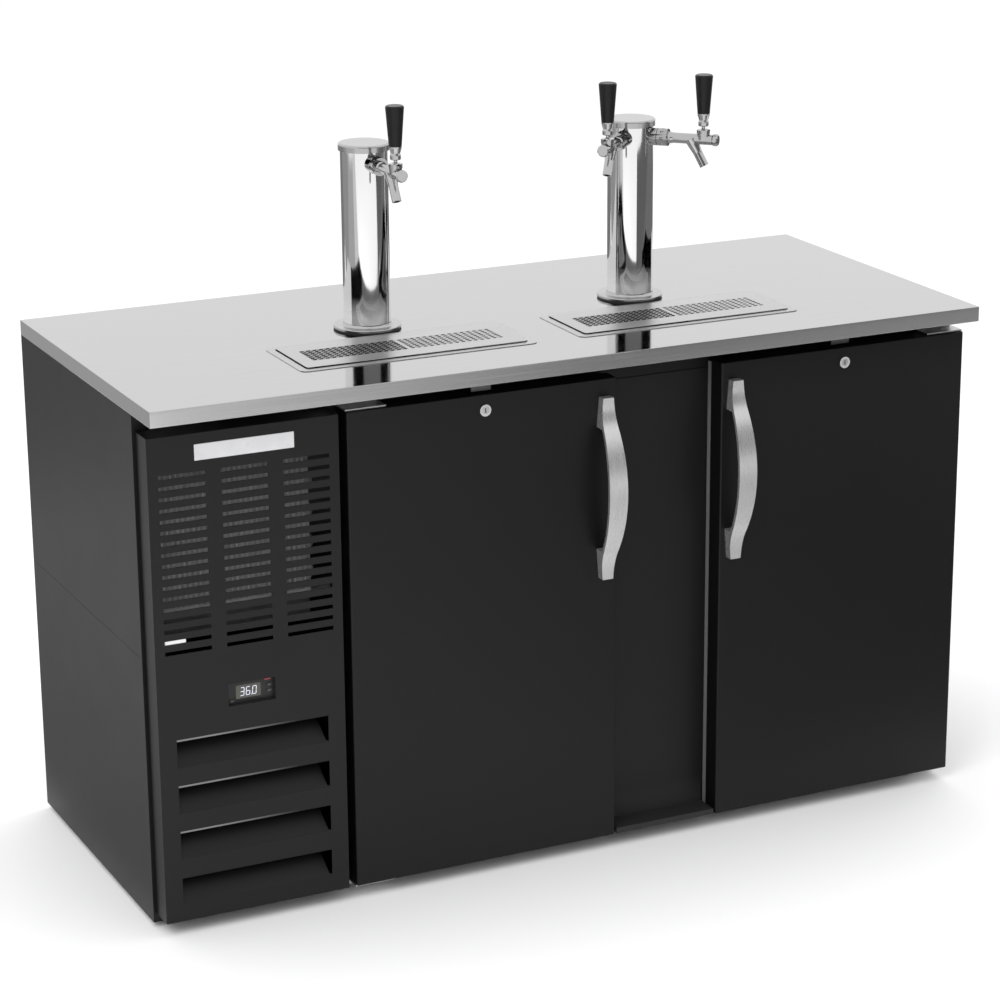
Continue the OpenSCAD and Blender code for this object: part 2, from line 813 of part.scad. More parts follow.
module drip_tray(x) {
    basin_r = max(recess_r - tray_step_w / 2, tray_step_w / 2);
    z_basin = z_flange - tray_basin_d;
    translate([x, y_front + tray_y, 0])
        difference() {
            union() {
                translate([0, 0, z_top])
                    linear_extrude(tray_sheet_t)
                        rounded(tray_w, tray_d, tray_corner_r);
                translate([0, 0, z_step - tray_sheet_t])
                    linear_extrude(tray_step_d)
                        rounded(recess_w + 2 * tray_sheet_t, recess_d + 2 * tray_sheet_t,
                                recess_r + tray_sheet_t);
                translate([0, 0, z_basin - tray_sheet_t])
                    linear_extrude(tray_basin_d)
                        rounded(basin_w + 2 * tray_sheet_t, basin_d + 2 * tray_sheet_t,
                                basin_r + tray_sheet_t);
                translate([0, 0, z_ceil])
                    cylinder(h = z_basin - z_ceil, r = drain_r);
                translate([0, 0, z_ceil - drain_out])
                    cylinder(h = drain_out + cut, r = drain_tail_r);
            }
            translate([0, 0, z_step])
                linear_extrude(tray_step_d + cut)
                    rounded(recess_w, recess_d, recess_r);
            translate([0, 0, z_basin])
                linear_extrude(tray_basin_d + cut)
                    rounded(basin_w, basin_d, basin_r);
            translate([0, 0, z_ceil - drain_out - cut])
                cylinder(h = z_basin - z_ceil + drain_out + 2 * cut, r = drain_bore_r);
        }
}

module drip_trays() {
    color(steel)
        for (x = tower_xs)
            drip_tray(x);
}

// Shallow pan turned upside down, with two zones of round holes in its top
module drip_grate(x) {
    zone_w = (grate_cols - 1) * grate_pitch;
    zone_d = (grate_rows - 1) * grate_row_pitch;
    grate_w = recess_w - 2 * grate_clear;
    grate_d = recess_d - 2 * grate_clear;
    grate_r = max(recess_r - grate_clear, 2 * grate_t);
    grate_h = z_flange + grate_rise - z_grate;
    color(steel)
        translate([x, y_front + tray_y, z_grate])
            difference() {
                linear_extrude(grate_h)
                    rounded(grate_w, grate_d, grate_r);
                translate([0, 0, -cut])
                    linear_extrude(grate_h - grate_t + cut)
                        rounded(grate_w - 2 * grate_t, grate_d - 2 * grate_t, grate_r - grate_t);
                for (side = [-1, 1], row = [0 : grate_rows - 1], col = [0 : grate_cols - 1])
                    translate([side * (grate_web + zone_w) / 2 - zone_w / 2 + col * grate_pitch,
                               row * grate_row_pitch - zone_d / 2, 0])
                        cylinder(h = grate_h + cut, r = grate_hole_r, $fn = 24);
            }
}

// Tap towers

module tower_columns() {
    color(chrome)
        difference() {
            for (x = tower_xs)
                translate([x, y_tower, z_seal])
                    difference() {
                        cylinder(h = z_column_top - z_seal, r = column_r);
                        translate([0, 0, -cut])
                            cylinder(h = tower_h, r = column_r - column_wall);
                    }
            for (i = [0 : len(taps) - 1])
                on_tap(i)
                    along_x(2 * column_r, shank_r + pin_clear);
        }
}

// Base flange: a plate that sweeps up into a collar round the column
module tower_bases() {
    sweep = base_collar_h - base_flange_t;
    color(chrome)
        for (x = tower_xs)
            translate([x, y_tower, z_seal])
                rotate_extrude()
                    difference() {
                        polygon([[column_r, 0], [base_r, 0], [base_r, base_flange_t - base_bevel],
                                 [base_r - base_bevel, base_flange_t],
                                 [column_r + sweep + base_bevel, base_flange_t],
                                 [column_r + base_bevel, base_collar_h], [column_r, base_collar_h]]);
                        translate([column_r + sweep + base_bevel, base_collar_h])
                            circle(sweep);
                    }
}

module tower_caps() {
    color(chrome)
        for (x = tower_xs)
            translate([x, y_tower, z_tower_top - cap_rim_h])
                rotate_extrude()
                    difference() {
                        union() {
                            square([cap_r, cap_rim_h - cap_edge_r]);
                            square([cap_r - cap_edge_r, cap_rim_h]);
                            translate([cap_r - cap_edge_r, cap_rim_h - cap_edge_r])
                                intersection() {
                                    circle(cap_edge_r);
                                    square(cap_edge_r);
                                }
                        }
                        translate([0, -cut])
                            square([column_r, cap_rim_h - cap_t + cut]);
                    }
}

module tower_seals() {
    color(rubber)
        for (x = tower_xs)
            translate([x, y_tower, z_top])
                difference() {
                    cylinder(h = base_seal_t, r = base_r - base_bevel);
                    translate([0, 0, -cut])
                        cylinder(h = base_seal_t + 2 * cut, r = line_hole_r);
                }
}

// Faucets

// Threaded tube through the column's wall, with a saddle collar outside
module tap_shanks() {
    color(chrome)
        for (i = [0 : len(taps) - 1])
            on_tap(i)
                difference() {
                    union() {
                        translate([column_r - shank_in, 0, 0])
                            along_x(shank_in + shank_out, shank_r);
                        difference() {
                            translate([column_r - shank_in, 0, 0])
                                along_x(shank_in + shank_out - nut_l / 3 - nut_gap, shank_collar_r);
                            cylinder(h = 3 * shank_collar_r, r = column_r, center = true);
                        }
                    }
                    translate([column_r - shank_in - cut, 0, 0])
                        along_x(shank_in + shank_out + 2 * cut, passage_r);
                }
}

// Ring nut with spanner notches
module coupling_nuts() {
    color(chrome)
        for (i = [0 : len(taps) - 1])
            on_tap(i)
                difference() {
                    translate([x_nut, 0, 0])
                        along_x(nut_l, nut_r);
                    translate([x_nut - cut, 0, 0])
                        along_x(x_tail - x_nut + cut, shank_r + pin_clear);
                    translate([x_tail - cut, 0, 0])
                        along_x(nut_l, tail_r + pin_clear);
                    for (k = [0 : notches - 1])
                        rotate([k * 360 / notches, 0, 0])
                            translate([x_nut + nut_l / 3, 0, nut_r])
                                along_x(nut_l / 3, notch_r);
                }
}

// Turned barrel with a nose ring, a boss for the lever and a leaning spout
module faucet_body() {
    flare_l = spout_l / 2;
    difference() {
        union() {
            rotate([90, 0, 90])
                rotate_extrude()
                    polygon([[0, x_tail], [tail_r, x_tail], [tail_r, x_nut_end],
                             [barrel_r + shoulder_out, x_nut_end],
                             [barrel_r + shoulder_out, x_nut_end + shoulder_l],
                             [barrel_r, x_nut_end + 2 * shoulder_l], [barrel_r, x_nose - 2 * shoulder_l],
                             [nose_r, x_nose - 1.6 * shoulder_l], [nose_r, x_nose - nose_bevel],
                             [nose_r - nose_bevel, x_nose], [0, x_nose]]);
            translate([lever_x, 0, 0])
                cylinder(h = boss_h, r = boss_r);
            translate([x_spout, 0, 0])
                rotate([0, 180 - spout_lean, 0]) {
                    cylinder(h = flare_l, r1 = spout_r + spout_flare, r2 = spout_r);
                    cylinder(h = spout_l, r = spout_r);
                }
        }
        translate([x_tail - cut, 0, 0])
            along_x(x_nose - x_tail - 3 * shoulder_l, passage_r);
        translate([x_spout - 2 * spout_r, 0, 0])
            along_x(x_nose - shoulder_l - x_spout + 2 * spout_r, valve_bore_r);
        translate([lever_x, 0, 0])
            cylinder(h = boss_h + cut, r = well_r);
        translate([x_spout, 0, 0])
            rotate([0, 180 - spout_lean, 0])
                cylinder(h = spout_l + cut, r = spout_bore_r);
    }
}

module faucet_bodies() {
    color(chrome)
        for (i = [0 : len(taps) - 1])
            on_tap(i)
                faucet_body();
}

// Cap that holds the lever's ball and its cross pin, slotted at the front so that the lever can be pulled
module faucet_bonnets() {
    slot_half = stem_r + 4 * ball_clear;
    color(chrome)
        for (i = [0 : len(taps) - 1])
            on_tap(i)
                translate([lever_x, 0, ball_z])
                    difference() {
                        translate([0, 0, boss_h - ball_z])
                            cylinder(h = ball_z - boss_h + bonnet_top, r = bonnet_r);
                        sphere(ball_r + ball_clear);
                        translate([0, 0, boss_h - ball_z - cut])
                            cylinder(h = bonnet_seat + cut, r = ball_r);
                        translate([0, -bonnet_r - cut, 0])
                            along_y(2 * bonnet_r + 2 * cut, lever_pin_r + ball_clear);
                        cylinder(h = bonnet_top + cut, r = slot_half);
                        block([0, -slot_half, 0], [bonnet_r + cut, slot_half, bonnet_top + cut]);
                    }
}

// Lever: ball with its cross pin, arm and tip below, stem and ferrule above
module tap_lever(i) {
    color(chrome)
        on_tap(i)
            translate([lever_x, 0, ball_z]) {
                sphere(ball_r);
                translate([0, -lever_pin_l / 2, 0])
                    along_y(lever_pin_l, lever_pin_r);
                translate([0, 0, -ball_z]) {
                    cylinder(h = ball_z, r = arm_r);
                    sphere(tip_r);
                }
                cylinder(h = ferrule_z + cut, r = stem_r);
                translate([0, 0, ferrule_z])
                    rotate_extrude()
                        polygon([[0, 0], [ferrule_r - ferrule_bevel, 0], [ferrule_r, ferrule_bevel],
                                 [ferrule_r, ferrule_l / 3], [ferrule_r - ferrule_bevel, ferrule_l / 2],
                                 [knob_foot_r, ferrule_l - 2 * ferrule_bevel],
                                 [knob_foot_r, ferrule_l], [0, ferrule_l]]);
            }
}

// Black tapered tap handle
module tap_handle(i) {
    color(black)
        on_tap(i)
            translate([lever_x, 0, z_knob])
                rotate_extrude()
                    polygon([[0, 0], [knob_foot_r, 0], [knob_top_r, knob_l - knob_edge_r],
                             [knob_top_r - knob_edge_r, knob_l], [0, knob_l]]);
}

// Valve shaft: seat at the back, guide with a notch for the lever's tip at the front
module valve_shaft(i) {
    guide_r = valve_bore_r - valve_clear;
    guide_l = 2 * valve_notch_l;
    x_seat = x_spout - spout_r;
    color(zinc)
        on_tap(i)
            difference() {
                union() {
                    translate([x_seat, 0, 0])
                        along_x(lever_x - x_seat, guide_r / 2);
                    translate([x_seat, 0, 0])
                        along_x(valve_seat_l, guide_r);
                    translate([lever_x - guide_l / 2, 0, 0])
                        along_x(guide_l, guide_r);
                }
                block([lever_x - valve_notch_l / 2, -2 * guide_r, -tip_r - 5 * valve_clear],
                      [lever_x + valve_notch_l / 2, 2 * guide_r, 2 * guide_r]);
            }
}

// Hinges and strikes

// Angle bracket on the cabinet's front with a pin that runs in the door
module hinge_bracket(at_top) {
    z_plate = at_top ? door_h + hinge_gap : -hinge_gap - hinge_plate_t;
    z_leg = at_top ? door_h + door_top_gap : -door_bottom_gap;
    plate_y = pivot_back - 2 * hinge_pin_r;
    block([0, plate_y, z_plate], [hinge_w, front_t, z_plate + hinge_plate_t]);
    block([0, front_t - hinge_plate_t, min(z_plate, z_leg)],
          [hinge_w, front_t, max(z_plate + hinge_plate_t, z_leg)]);
    translate([pivot_in, pivot_back, at_top ? door_h - hinge_pin_l : -hinge_gap])
        cylinder(h = hinge_pin_l + hinge_gap, r = hinge_pin_r);
}

module hinge_brackets() {
    color(zinc)
        for (side = ["left", "right"], at_top = [false, true])
            on_door(side)
                hinge_bracket(at_top);
}

// Angle under the slab whose lip hangs in front of the raised cam
module lock_strikes() {
    color(zinc)
        for (side = ["left", "right"])
            on_door(side)
                translate([lock_from_hinge - strike_w / 2, 0, door_h]) {
                    block([0, lip_y, strike_gap], [strike_w, lip_y + strike_t, door_top_gap]);
                    block([0, lip_y, door_top_gap - strike_t], [strike_w, front_t, door_top_gap]);
                }
}

// Doors

// Plan of a door, with rounded front edges, drawn in by an inset
module door_plan(inset) {
    r = door_edge_r - inset;
    translate([inset, door_edge_r])
        square([door_w - 2 * inset, door_t - door_edge_r - inset]);
    translate([door_edge_r, inset])
        square([door_w - 2 * door_edge_r, door_t - 2 * inset]);
    for (x = [door_edge_r, door_w - door_edge_r])
        translate([x, door_edge_r])
            circle(r, $fn = 32);
}

// Folded pan, open at the back behind the liner, with an insert round each hinge bore
module door_shell(side) {
    insert = pivot_in - panel_skin_t / 2;
    bore_r = hinge_pin_r + pin_clear;
    bore_l = hinge_pin_l + hinge_gap;
    pocket = cam_w / 2 + 2 * cam_clear;
    reach = sqrt(cam_l * cam_l + cam_w * cam_w / 4) + cam_clear;
    color(black)
        on_door(side)
            difference() {
                union() {
                    difference() {
                        linear_extrude(door_h)
                            door_plan(0);
                        translate([0, 0, panel_skin_t])
                            linear_extrude(door_h - 2 * panel_skin_t)
                                door_plan(panel_skin_t);
                        inside_gasket(gasket_w + 2 * liner_clear, door_t - 2 * panel_skin_t, door_t + cut);
                    }
                    for (z = [0, door_h - bore_l - skin_t])
                        translate([pivot_in - insert, pivot_back - insert, z])
                            cube([2 * insert, 2 * insert, bore_l + skin_t]);
                }
                for (z = [-cut, door_h - bore_l])
                    translate([pivot_in, pivot_back, z])
                        cylinder(h = bore_l + cut, r = bore_r);
                translate([lock_from_hinge, 0, door_h - lock_below_top]) {
                    translate([0, -cut, 0])
                        along_y(lock_barrel_l, lock_barrel_r + pin_clear);
                    block([-pocket, lock_barrel_l, 0],
                          [reach, lock_barrel_l + cam_t + 2 * cam_clear, lock_below_top + cut]);
                }
            }
}

// Box inside the gasket's outline, drawn in from it on all sides
module inside_gasket(inset, y0, y1) {
    block([gasket_inset + inset, y0, gasket_foot_inset + inset],
          [door_w - gasket_latch_inset - inset, y1, door_h - gasket_top_inset - inset]);
}

// Inner liner: a flat pan with a pressed channel inside its edge
module door_liner(side) {
    edge = gasket_w + liner_clear;
    border = 4 * liner_channel;
    color(white)
        on_door(side)
            difference() {
                inside_gasket(edge, door_t, door_t + liner_t);
                difference() {
                    inside_gasket(edge + border, door_t + liner_t - liner_channel, door_t + liner_t + cut);
                    inside_gasket(edge + 2 * border, door_t, door_t + liner_t + 2 * cut);
                }
            }
}

module door_gasket(side) {
    color(grey)
        on_door(side)
            difference() {
                inside_gasket(0, door_t, door_t + gasket_t);
                inside_gasket(gasket_w, door_t - cut, door_t + gasket_t + cut);
            }
}

// Side view of half the bow, along +X: a round bow that sweeps out into a flat foot.
// The bow's arc and the sweep's arc meet where both have the same tangent.
module handle_side() {
    bow_y = handle_out - handle_bow_r;
    sweep_y = handle_foot_h + handle_sweep_r;
    join = handle_bow_r + handle_sweep_r;
    sweep_x = sqrt(join * join - (sweep_y - bow_y) * (sweep_y - bow_y));
    meet_x = sweep_x * handle_bow_r / join;
    meet_y = bow_y + (sweep_y - bow_y) * handle_bow_r / join;
    difference() {
        union() {
            intersection() {
                translate([0, bow_y])
                    circle(handle_bow_r, $fn = 200);
                square([meet_x, handle_out]);
            }
            difference() {
                translate([meet_x, 0])
                    square([sweep_x - meet_x, meet_y]);
                translate([sweep_x, sweep_y])
                    circle(handle_sweep_r);
            }
            translate([sweep_x, 0])
                square([handle_l / 2 - sweep_x, handle_foot_h]);
        }
        intersection() {
            translate([0, bow_y])
                circle(handle_bow_r - handle_strap_t, $fn = 200);
            translate([-cut, -cut])
                square([handle_l / 2 - handle_foot_l + cut, handle_out]);
        }
    }
}

module door_handle(side) {
    waist = (handle_mid_w - handle_end_w) / 2;
    edge_r = (handle_l * handle_l / 4 + waist * waist) / (2 * waist);
    color(steel)
        on_door(side)
            translate([door_w - handle_from_latch, 0, door_h - handle_below_top - handle_l / 2])
                intersection() {
                    for (end = [0, 1])
                        mirror([0, 0, end])
                            rotate([0, -90, 180])
                                linear_extrude(handle_mid_w, center = true)
                                    handle_side();
                    translate([0, cut, 0])
                        rotate([90, 0, 0])
                            linear_extrude(handle_out + 2 * cut)
                                intersection() {
                                    square([handle_mid_w, handle_l], center = true);
                                    translate([edge_r - handle_mid_w / 2, 0])
                                        circle(edge_r, $fn = 400);
                                    translate([handle_mid_w / 2 - edge_r, 0])
                                        circle(edge_r, $fn = 400);
                                }
                }
}

module lock_barrel(side) {
    color(chrome)
        on_door(side)
            translate([lock_from_hinge, 0, door_h - lock_below_top])
                difference() {
                    union() {
                        translate([0, -lock_ring_h, 0])
                            along_y(lock_ring_h, lock_ring_r);
                        along_y(lock_barrel_l, lock_barrel_r);
                    }
                    translate([0, -lock_ring_h - cut, 0])
                        along_y(lock_barrel_l + lock_ring_h + 2 * cut, plug_r + plug_clear);
                }
}

// Turning plug with a key slot in front and the cam on its tail
module lock_plug(side) {
    key_slot_w = 1.6;
    key_slot_l = plug_r * 1.3;
    key_slot_d = 6;
    color(zinc)
        on_door(side)
            translate([lock_from_hinge, 0, door_h - lock_below_top]) {
                difference() {
                    translate([0, -lock_ring_h, 0])
                        along_y(cam_y + lock_ring_h, plug_r);
                    translate([0, -lock_ring_h, 0])
                        cube([key_slot_w, 2 * key_slot_d, key_slot_l], center = true);
                }
                translate([0, cam_y, 0])
                    along_y(cam_t, cam_w / 2);
                block([0, cam_y, -cam_w / 2], [cam_l, cam_y + cam_t, cam_w / 2]);
            }
}

// Space above a scoop's ramp, between two depths behind the panel's front
module scoop_wedge(w, front, back, drop) {
    translate([-w / 2, 0, 0])
        rotate([90, 0, 90])
            linear_extrude(w)
                polygon([[front, front * scoop_slope - drop], [back, scoop_h], [front, scoop_h]]);
}

// Places its children at the foot of each scoop
module on_scoops() {
    for (i = [0 : scoop_count - 1])
        translate([x_grille_mid, y_door, z_door + scoop_foot + i * scoop_pitch])
            children();
}

// Grille panel: a folded box with slots above, a window, and louvre scoops below, open at their ends
module grille_panel() {
    flange_end = x_bay + flange_w / 3;
    color(black) {
        difference() {
            union() {
                difference() {
                    block([x_grille, y_door, z_door], [x_grille_end, y_carc, z_door_top]);
                    block([x_grille + skin_t, y_door + skin_t, z_door + skin_t],
                          [x_grille_end - skin_t, y_carc + cut, z_door_top - skin_t]);
                }
                block([x_grille_end - skin_t, y_carc - skin_t, z_door],
                      [flange_end, y_carc, z_door_top]);
                on_scoops()
                    scoop_wedge(scoop_w + 2 * skin_t, 0, scoop_d + 2 * skin_t, 2 * skin_t * scoop_slope);
            }
            on_scoops() {
                scoop_wedge(scoop_w, 0, scoop_d, 0);
                scoop_wedge(scoop_w + 2 * skin_t + 2 * cut, skin_t, scoop_d, 0);
                block([-scoop_w / 2, -cut, 0], [scoop_w / 2, 0, scoop_h]);
            }
            for (col = [0 : slot_cols - 1], row = [0 : slot_rows - 1])
                translate([x_grille_mid + (col - (slot_cols - 1) / 2) * slot_col_pitch, y_door,
                           z_door_top - slot_below_top - row * slot_row_pitch])
                    cube([slot_l, 4 * skin_t, slot_h], center = true);
            translate([x_grille_mid, y_door, z_ctrl])
                cube([ctrl_w, 4 * skin_t, ctrl_h], center = true);
        }
        on_scoops()
            translate([-scoop_w / 2, scoop_lip_r, scoop_h])
                along_x(scoop_w, scoop_lip_r);
    }
}

// Case behind the window, open at the front, with the face plate at the foot of its recess
module controller_case() {
    w = ctrl_w / 2 + ctrl_rim;
    h = ctrl_h / 2 + ctrl_rim;
    color(rubber)
        on_controller()
            difference() {
                block([-w, 0, -h], [w, ctrl_recess + ctrl_case_d, h]);
                block([-ctrl_w / 2, -cut, -ctrl_h / 2],
                      [ctrl_w / 2, ctrl_recess + ctrl_face_t, ctrl_h / 2]);
                for (p = key_places)
                    translate([p[0], ctrl_recess, p[1]])
                        rotate([-90, 0, 0])
                            cylinder(h = ctrl_face_t + 4 * key_travel, r = key_h / 2);
            }
}

module controller_face() {
    color(rubber)
        on_controller()
            difference() {
                block([-ctrl_w / 2, ctrl_recess, -ctrl_h / 2],
                      [ctrl_w / 2, ctrl_recess + ctrl_face_t, ctrl_h / 2]);
                for (p = key_places)
                    translate([p[0], ctrl_recess, p[1]])
                        cube([key_w + 2 * key_clear, 4 * ctrl_face_t, key_h + 2 * key_clear],
                             center = true);
            }
}

// Key with a round plunger that slides in the case behind the face
module controller_key(i) {
    color(grey)
        on_controller()
            translate([key_places[i][0], ctrl_recess - key_out, key_places[i][1]]) {
                translate([-key_w / 2, 0, -key_h / 2])
                    cube([key_w, key_out + ctrl_face_t - key_travel - key_clear, key_h]);
                along_y(key_out + ctrl_face_t + key_travel, key_h / 2 - key_clear);
            }
}

// Cooling unit

// Welded can with a domed top, on a plate with four rubber mounts
module compressor() {
    dome_r = (comp_r * comp_r + comp_dome_h * comp_dome_h) / (2 * comp_dome_h);
    plate_w = comp_r * 1.7;
    translate([x_left + bay_w / 2, y_carc + comp_back, z_base]) {
        color(rubber)
            for (sx = [-1, 1], sy = [-1, 1])
                translate([sx * plate_w * 0.42, sy * plate_w * 0.42, 0])
                    cylinder(h = comp_mount_h, r = comp_mount_h * 0.8);
        color(black) {
            translate([-plate_w / 2, -plate_w / 2, comp_mount_h])
                cube([plate_w, plate_w, 2 * skin_t]);
            translate([0, 0, comp_mount_h + 2 * skin_t])
                rotate_extrude()
                    difference() {
                        union() {
                            square([comp_r, comp_h - comp_dome_h]);
                            translate([0, comp_h - comp_dome_h])
                                intersection() {
                                    translate([0, comp_dome_h - dome_r])
                                        circle(dome_r);
                                    square([comp_r, comp_dome_h]);
                                }
                        }
                        translate([0, comp_wall])
                            square([comp_r - comp_wall, comp_h - comp_dome_h - 2 * comp_wall]);
                    }
        }
    }
}

// Fin block with its return bends, on a rail across the machine bay
module condenser_coil() {
    pitch = cond_w / fin_count;
    bends = 5;
    bend_pitch = cond_h / bends;
    bend_r = bend_pitch / 4;
    tube_r = 4;
    color(grey) {
        difference() {
            block([x_cond, y_cond, z_cond], [x_cond + cond_w, y_cond_end, z_cond_top]);
            for (i = [0 : fin_count - 1])
                translate([x_cond + (i + 0.5) * pitch - fin_gap / 2, y_cond - cut, z_cond + tube_r])
                    cube([fin_gap, fin_d + cut, cond_h - 2 * tube_r]);
        }
        block([x_left + skin_t, y_cond, z_cond - rail_h], [x_bay, y_cond_end, z_cond]);
    }
    color(copper)
        for (i = [0 : bends - 1])
            translate([x_cond + cond_w, (y_cond + y_cond_end) / 2, z_cond + (i + 0.5) * bend_pitch])
                rotate([90, 0, 0])
                    rotate([0, 0, -90])
                        rotate_extrude(angle = 180)
                            translate([bend_r, 0])
                                circle(tube_r);
}

// Plate on the condenser's back with the fan's ring
module condenser_fan_shroud() {
    ring_r = fan_r + fan_clear;
    color(grey)
        difference() {
            union() {
                block([x_cond, y_cond_end, z_cond], [x_cond + cond_w, y_cond_end + skin_t, z_cond_top]);
                translate([x_fan, y_cond_end, z_fan])
                    along_y(fan_ring_d, ring_r + skin_t);
            }
            translate([x_fan, y_cond_end - cut, z_fan])
                along_y(fan_ring_d + 2 * cut, ring_r);
        }
}

// Fan motor on a cross of arms that stands on the ring's back edge
module condenser_fan_motor() {
    y_arm = y_cond_end + fan_ring_d;
    arm_t = 3;
    color(zinc)
        translate([x_fan, 0, z_fan]) {
            translate([0, y_arm, 0])
                for (turn = [45, 135])
                    rotate([0, turn, 0])
                        translate([-fan_r - fan_clear - skin_t, 0, -motor_arm_w / 2])
                            cube([2 * (fan_r + fan_clear + skin_t), arm_t, motor_arm_w]);
            translate([0, y_arm, 0])
                along_y(motor_l, motor_r);
            translate([0, y_fan - fan_depth / 2, 0])
                along_y(y_arm - y_fan + fan_depth / 2 + cut, motor_shaft_r);
        }
}

// Axial fan along +Z, centred on the origin, with pitched blades cut to a round outline
module axial_fan(r, chord, depth) {
    difference() {
        union() {
            cylinder(h = depth, r = hub_r, center = true);
            intersection() {
                cylinder(h = depth, r = r, center = true);
                for (k = [0 : blade_count - 1])
                    rotate([0, 0, k * 360 / blade_count])
                        translate([r / 2, 0, 0])
                            rotate([blade_pitch, 0, 0])
                                cube([r + 2 * cut, chord, blade_t], center = true);
            }
        }
        cylinder(h = 2 * depth, r = motor_shaft_r + hub_clear, center = true);
    }
}

module condenser_fan() {
    color(black)
        translate([x_fan, y_fan, z_fan])
            rotate([90, 0, 0])
                axial_fan(fan_r, blade_chord, fan_depth);
}

// Evaporator

// Sheet box on the divider, open to the coil, with a round fan mouth and an outlet below
module evaporator_housing() {
    mouth_r = evap_fan_r + fan_clear;
    outlet_w = evap_w / 2;
    color(grey)
        difference() {
            block([x_keg, y_evap, z_evap], [x_keg + evap_w, y_evap + evap_d, z_ceil]);
            block([x_keg - cut, y_evap + skin_t, z_evap + skin_t],
                  [x_evap_face, y_evap + evap_d - skin_t, z_ceil - skin_t]);
            translate([x_evap_face - cut, y_evap_fan, z_evap_fan])
                along_x(skin_t + 2 * cut, mouth_r);
            block([x_keg + skin_t, y_evap + flange_w, z_evap - cut],
                  [x_keg + outlet_w, y_evap + evap_d - flange_w, z_evap + skin_t + cut]);
        }
}

module evaporator_coil() {
    pitch = (evap_d - 2 * flange_w) / fin_count;
    groove_d = evap_coil_w - fin_gap;
    color(grey)
        difference() {
            block([x_keg, y_evap + flange_w, z_evap + flange_w],
                  [x_keg + evap_coil_w, y_evap + evap_d - flange_w, z_ceil - flange_w]);
            for (i = [0 : fin_count - 1])
                translate([x_keg + fin_gap, y_evap + flange_w + (i + 0.5) * pitch - fin_gap / 2,
                           z_evap + flange_w + fin_gap])
                    cube([groove_d + cut, fin_gap, evap_h - 2 * flange_w - 2 * fin_gap]);
        }
}

// Small motor on a strap between the housing's floor and roof
module evaporator_fan_motor() {
    strap_t = 3;
    color(zinc)
        translate([x_evap_motor, y_evap_fan, z_evap_fan]) {
            along_x(evap_motor_l, motor_r * 0.7);
            along_x(evap_motor_l + fan_clear + evap_fan_depth, motor_shaft_r);
            translate([0, -motor_arm_w / 2, z_evap + skin_t - z_evap_fan])
                cube([strap_t, motor_arm_w, evap_h - 2 * skin_t]);
        }
}

module evaporator_fan() {
    color(black)
        translate([x_evap_fan, y_evap_fan, z_evap_fan])
            rotate([0, 90, 0])
                axial_fan(evap_fan_r, evap_chord, evap_fan_depth);
}

base_pan();
levelling_feet();
left_end_panel();
right_wall();
rear_wall();
divider_wall();
ceiling_panel();
floor_panel();
mullion_post();
machine_rear_cover();
countertop();
drip_trays();
tower_columns();
tower_bases();
tower_caps();
tower_seals();
tap_shanks();
coupling_nuts();
faucet_bodies();
faucet_bonnets();
hinge_brackets();
lock_strikes();
grille_panel();
controller_case();
controller_face();
compressor();
condenser_coil();
condenser_fan_shroud();
condenser_fan_motor();
evaporator_housing();
evaporator_coil();
evaporator_fan_motor();
door_shell("left");  // left_door_shell
door_liner("left");  // left_door_liner
door_gasket("left");  // left_door_gasket
door_handle("left");  // left_door_handle
lock_barrel("left");  // left_lock_barrel
door_shell("right");  // right_door_shell
door_liner("right");  // right_door_liner
door_gasket("right");  // right_door_gasket
door_handle("right");  // right_door_handle
lock_barrel("right");  // right_lock_barrel
lock_plug("left");  // left_lock_plug
lock_plug("right");  // right_lock_plug
tap_lever(0);  // tap_lever_left
tap_lever(1);  // tap_lever_middle
tap_lever(2);  // tap_lever_right
tap_handle(0);  // tap_handle_left
tap_handle(1);  // tap_handle_middle
tap_handle(2);  // tap_handle_right
valve_shaft(0);  // valve_shaft_left
valve_shaft(1);  // valve_shaft_middle
valve_shaft(2);  // valve_shaft_right
drip_grate(tower_xs[0]);  // drip_grate_left
drip_grate(tower_xs[1]);  // drip_grate_right
condenser_fan();
evaporator_fan();
controller_key(0);  // controller_key_left
controller_key(1);  // controller_key_upper
controller_key(2);  // controller_key_lower
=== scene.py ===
import math

import bmesh
import bpy
from mathutils import Matrix, Vector


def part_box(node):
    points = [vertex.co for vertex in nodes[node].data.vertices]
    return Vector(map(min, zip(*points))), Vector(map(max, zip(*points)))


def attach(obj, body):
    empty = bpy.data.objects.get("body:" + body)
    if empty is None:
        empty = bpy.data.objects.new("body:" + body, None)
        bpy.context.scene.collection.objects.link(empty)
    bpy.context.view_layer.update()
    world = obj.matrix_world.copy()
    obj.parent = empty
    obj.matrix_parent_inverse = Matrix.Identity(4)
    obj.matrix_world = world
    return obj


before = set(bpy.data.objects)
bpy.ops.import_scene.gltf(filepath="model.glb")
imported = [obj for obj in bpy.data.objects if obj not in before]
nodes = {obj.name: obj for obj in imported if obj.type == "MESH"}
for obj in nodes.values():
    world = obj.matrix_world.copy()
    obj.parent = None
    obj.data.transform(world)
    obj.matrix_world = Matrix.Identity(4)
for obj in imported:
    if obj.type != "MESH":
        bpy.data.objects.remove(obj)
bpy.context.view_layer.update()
scene = bpy.context.scene
scene.view_settings.view_transform = "Standard"

# Boxes of the nodes that carry pieces or steer materials
top_lo, top_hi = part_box("countertop")
panel_lo, panel_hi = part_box("grille_panel")
face_lo, face_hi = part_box("controller_face")
coil_lo, coil_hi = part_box("condenser_coil")
grate_lo, grate_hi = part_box("drip_grate_left")

# Middle of the controller's face, which is also the middle of the grille panel's pattern
face_x = (face_lo.x + face_hi.x) / 2
face_z = (face_lo.z + face_hi.z) / 2


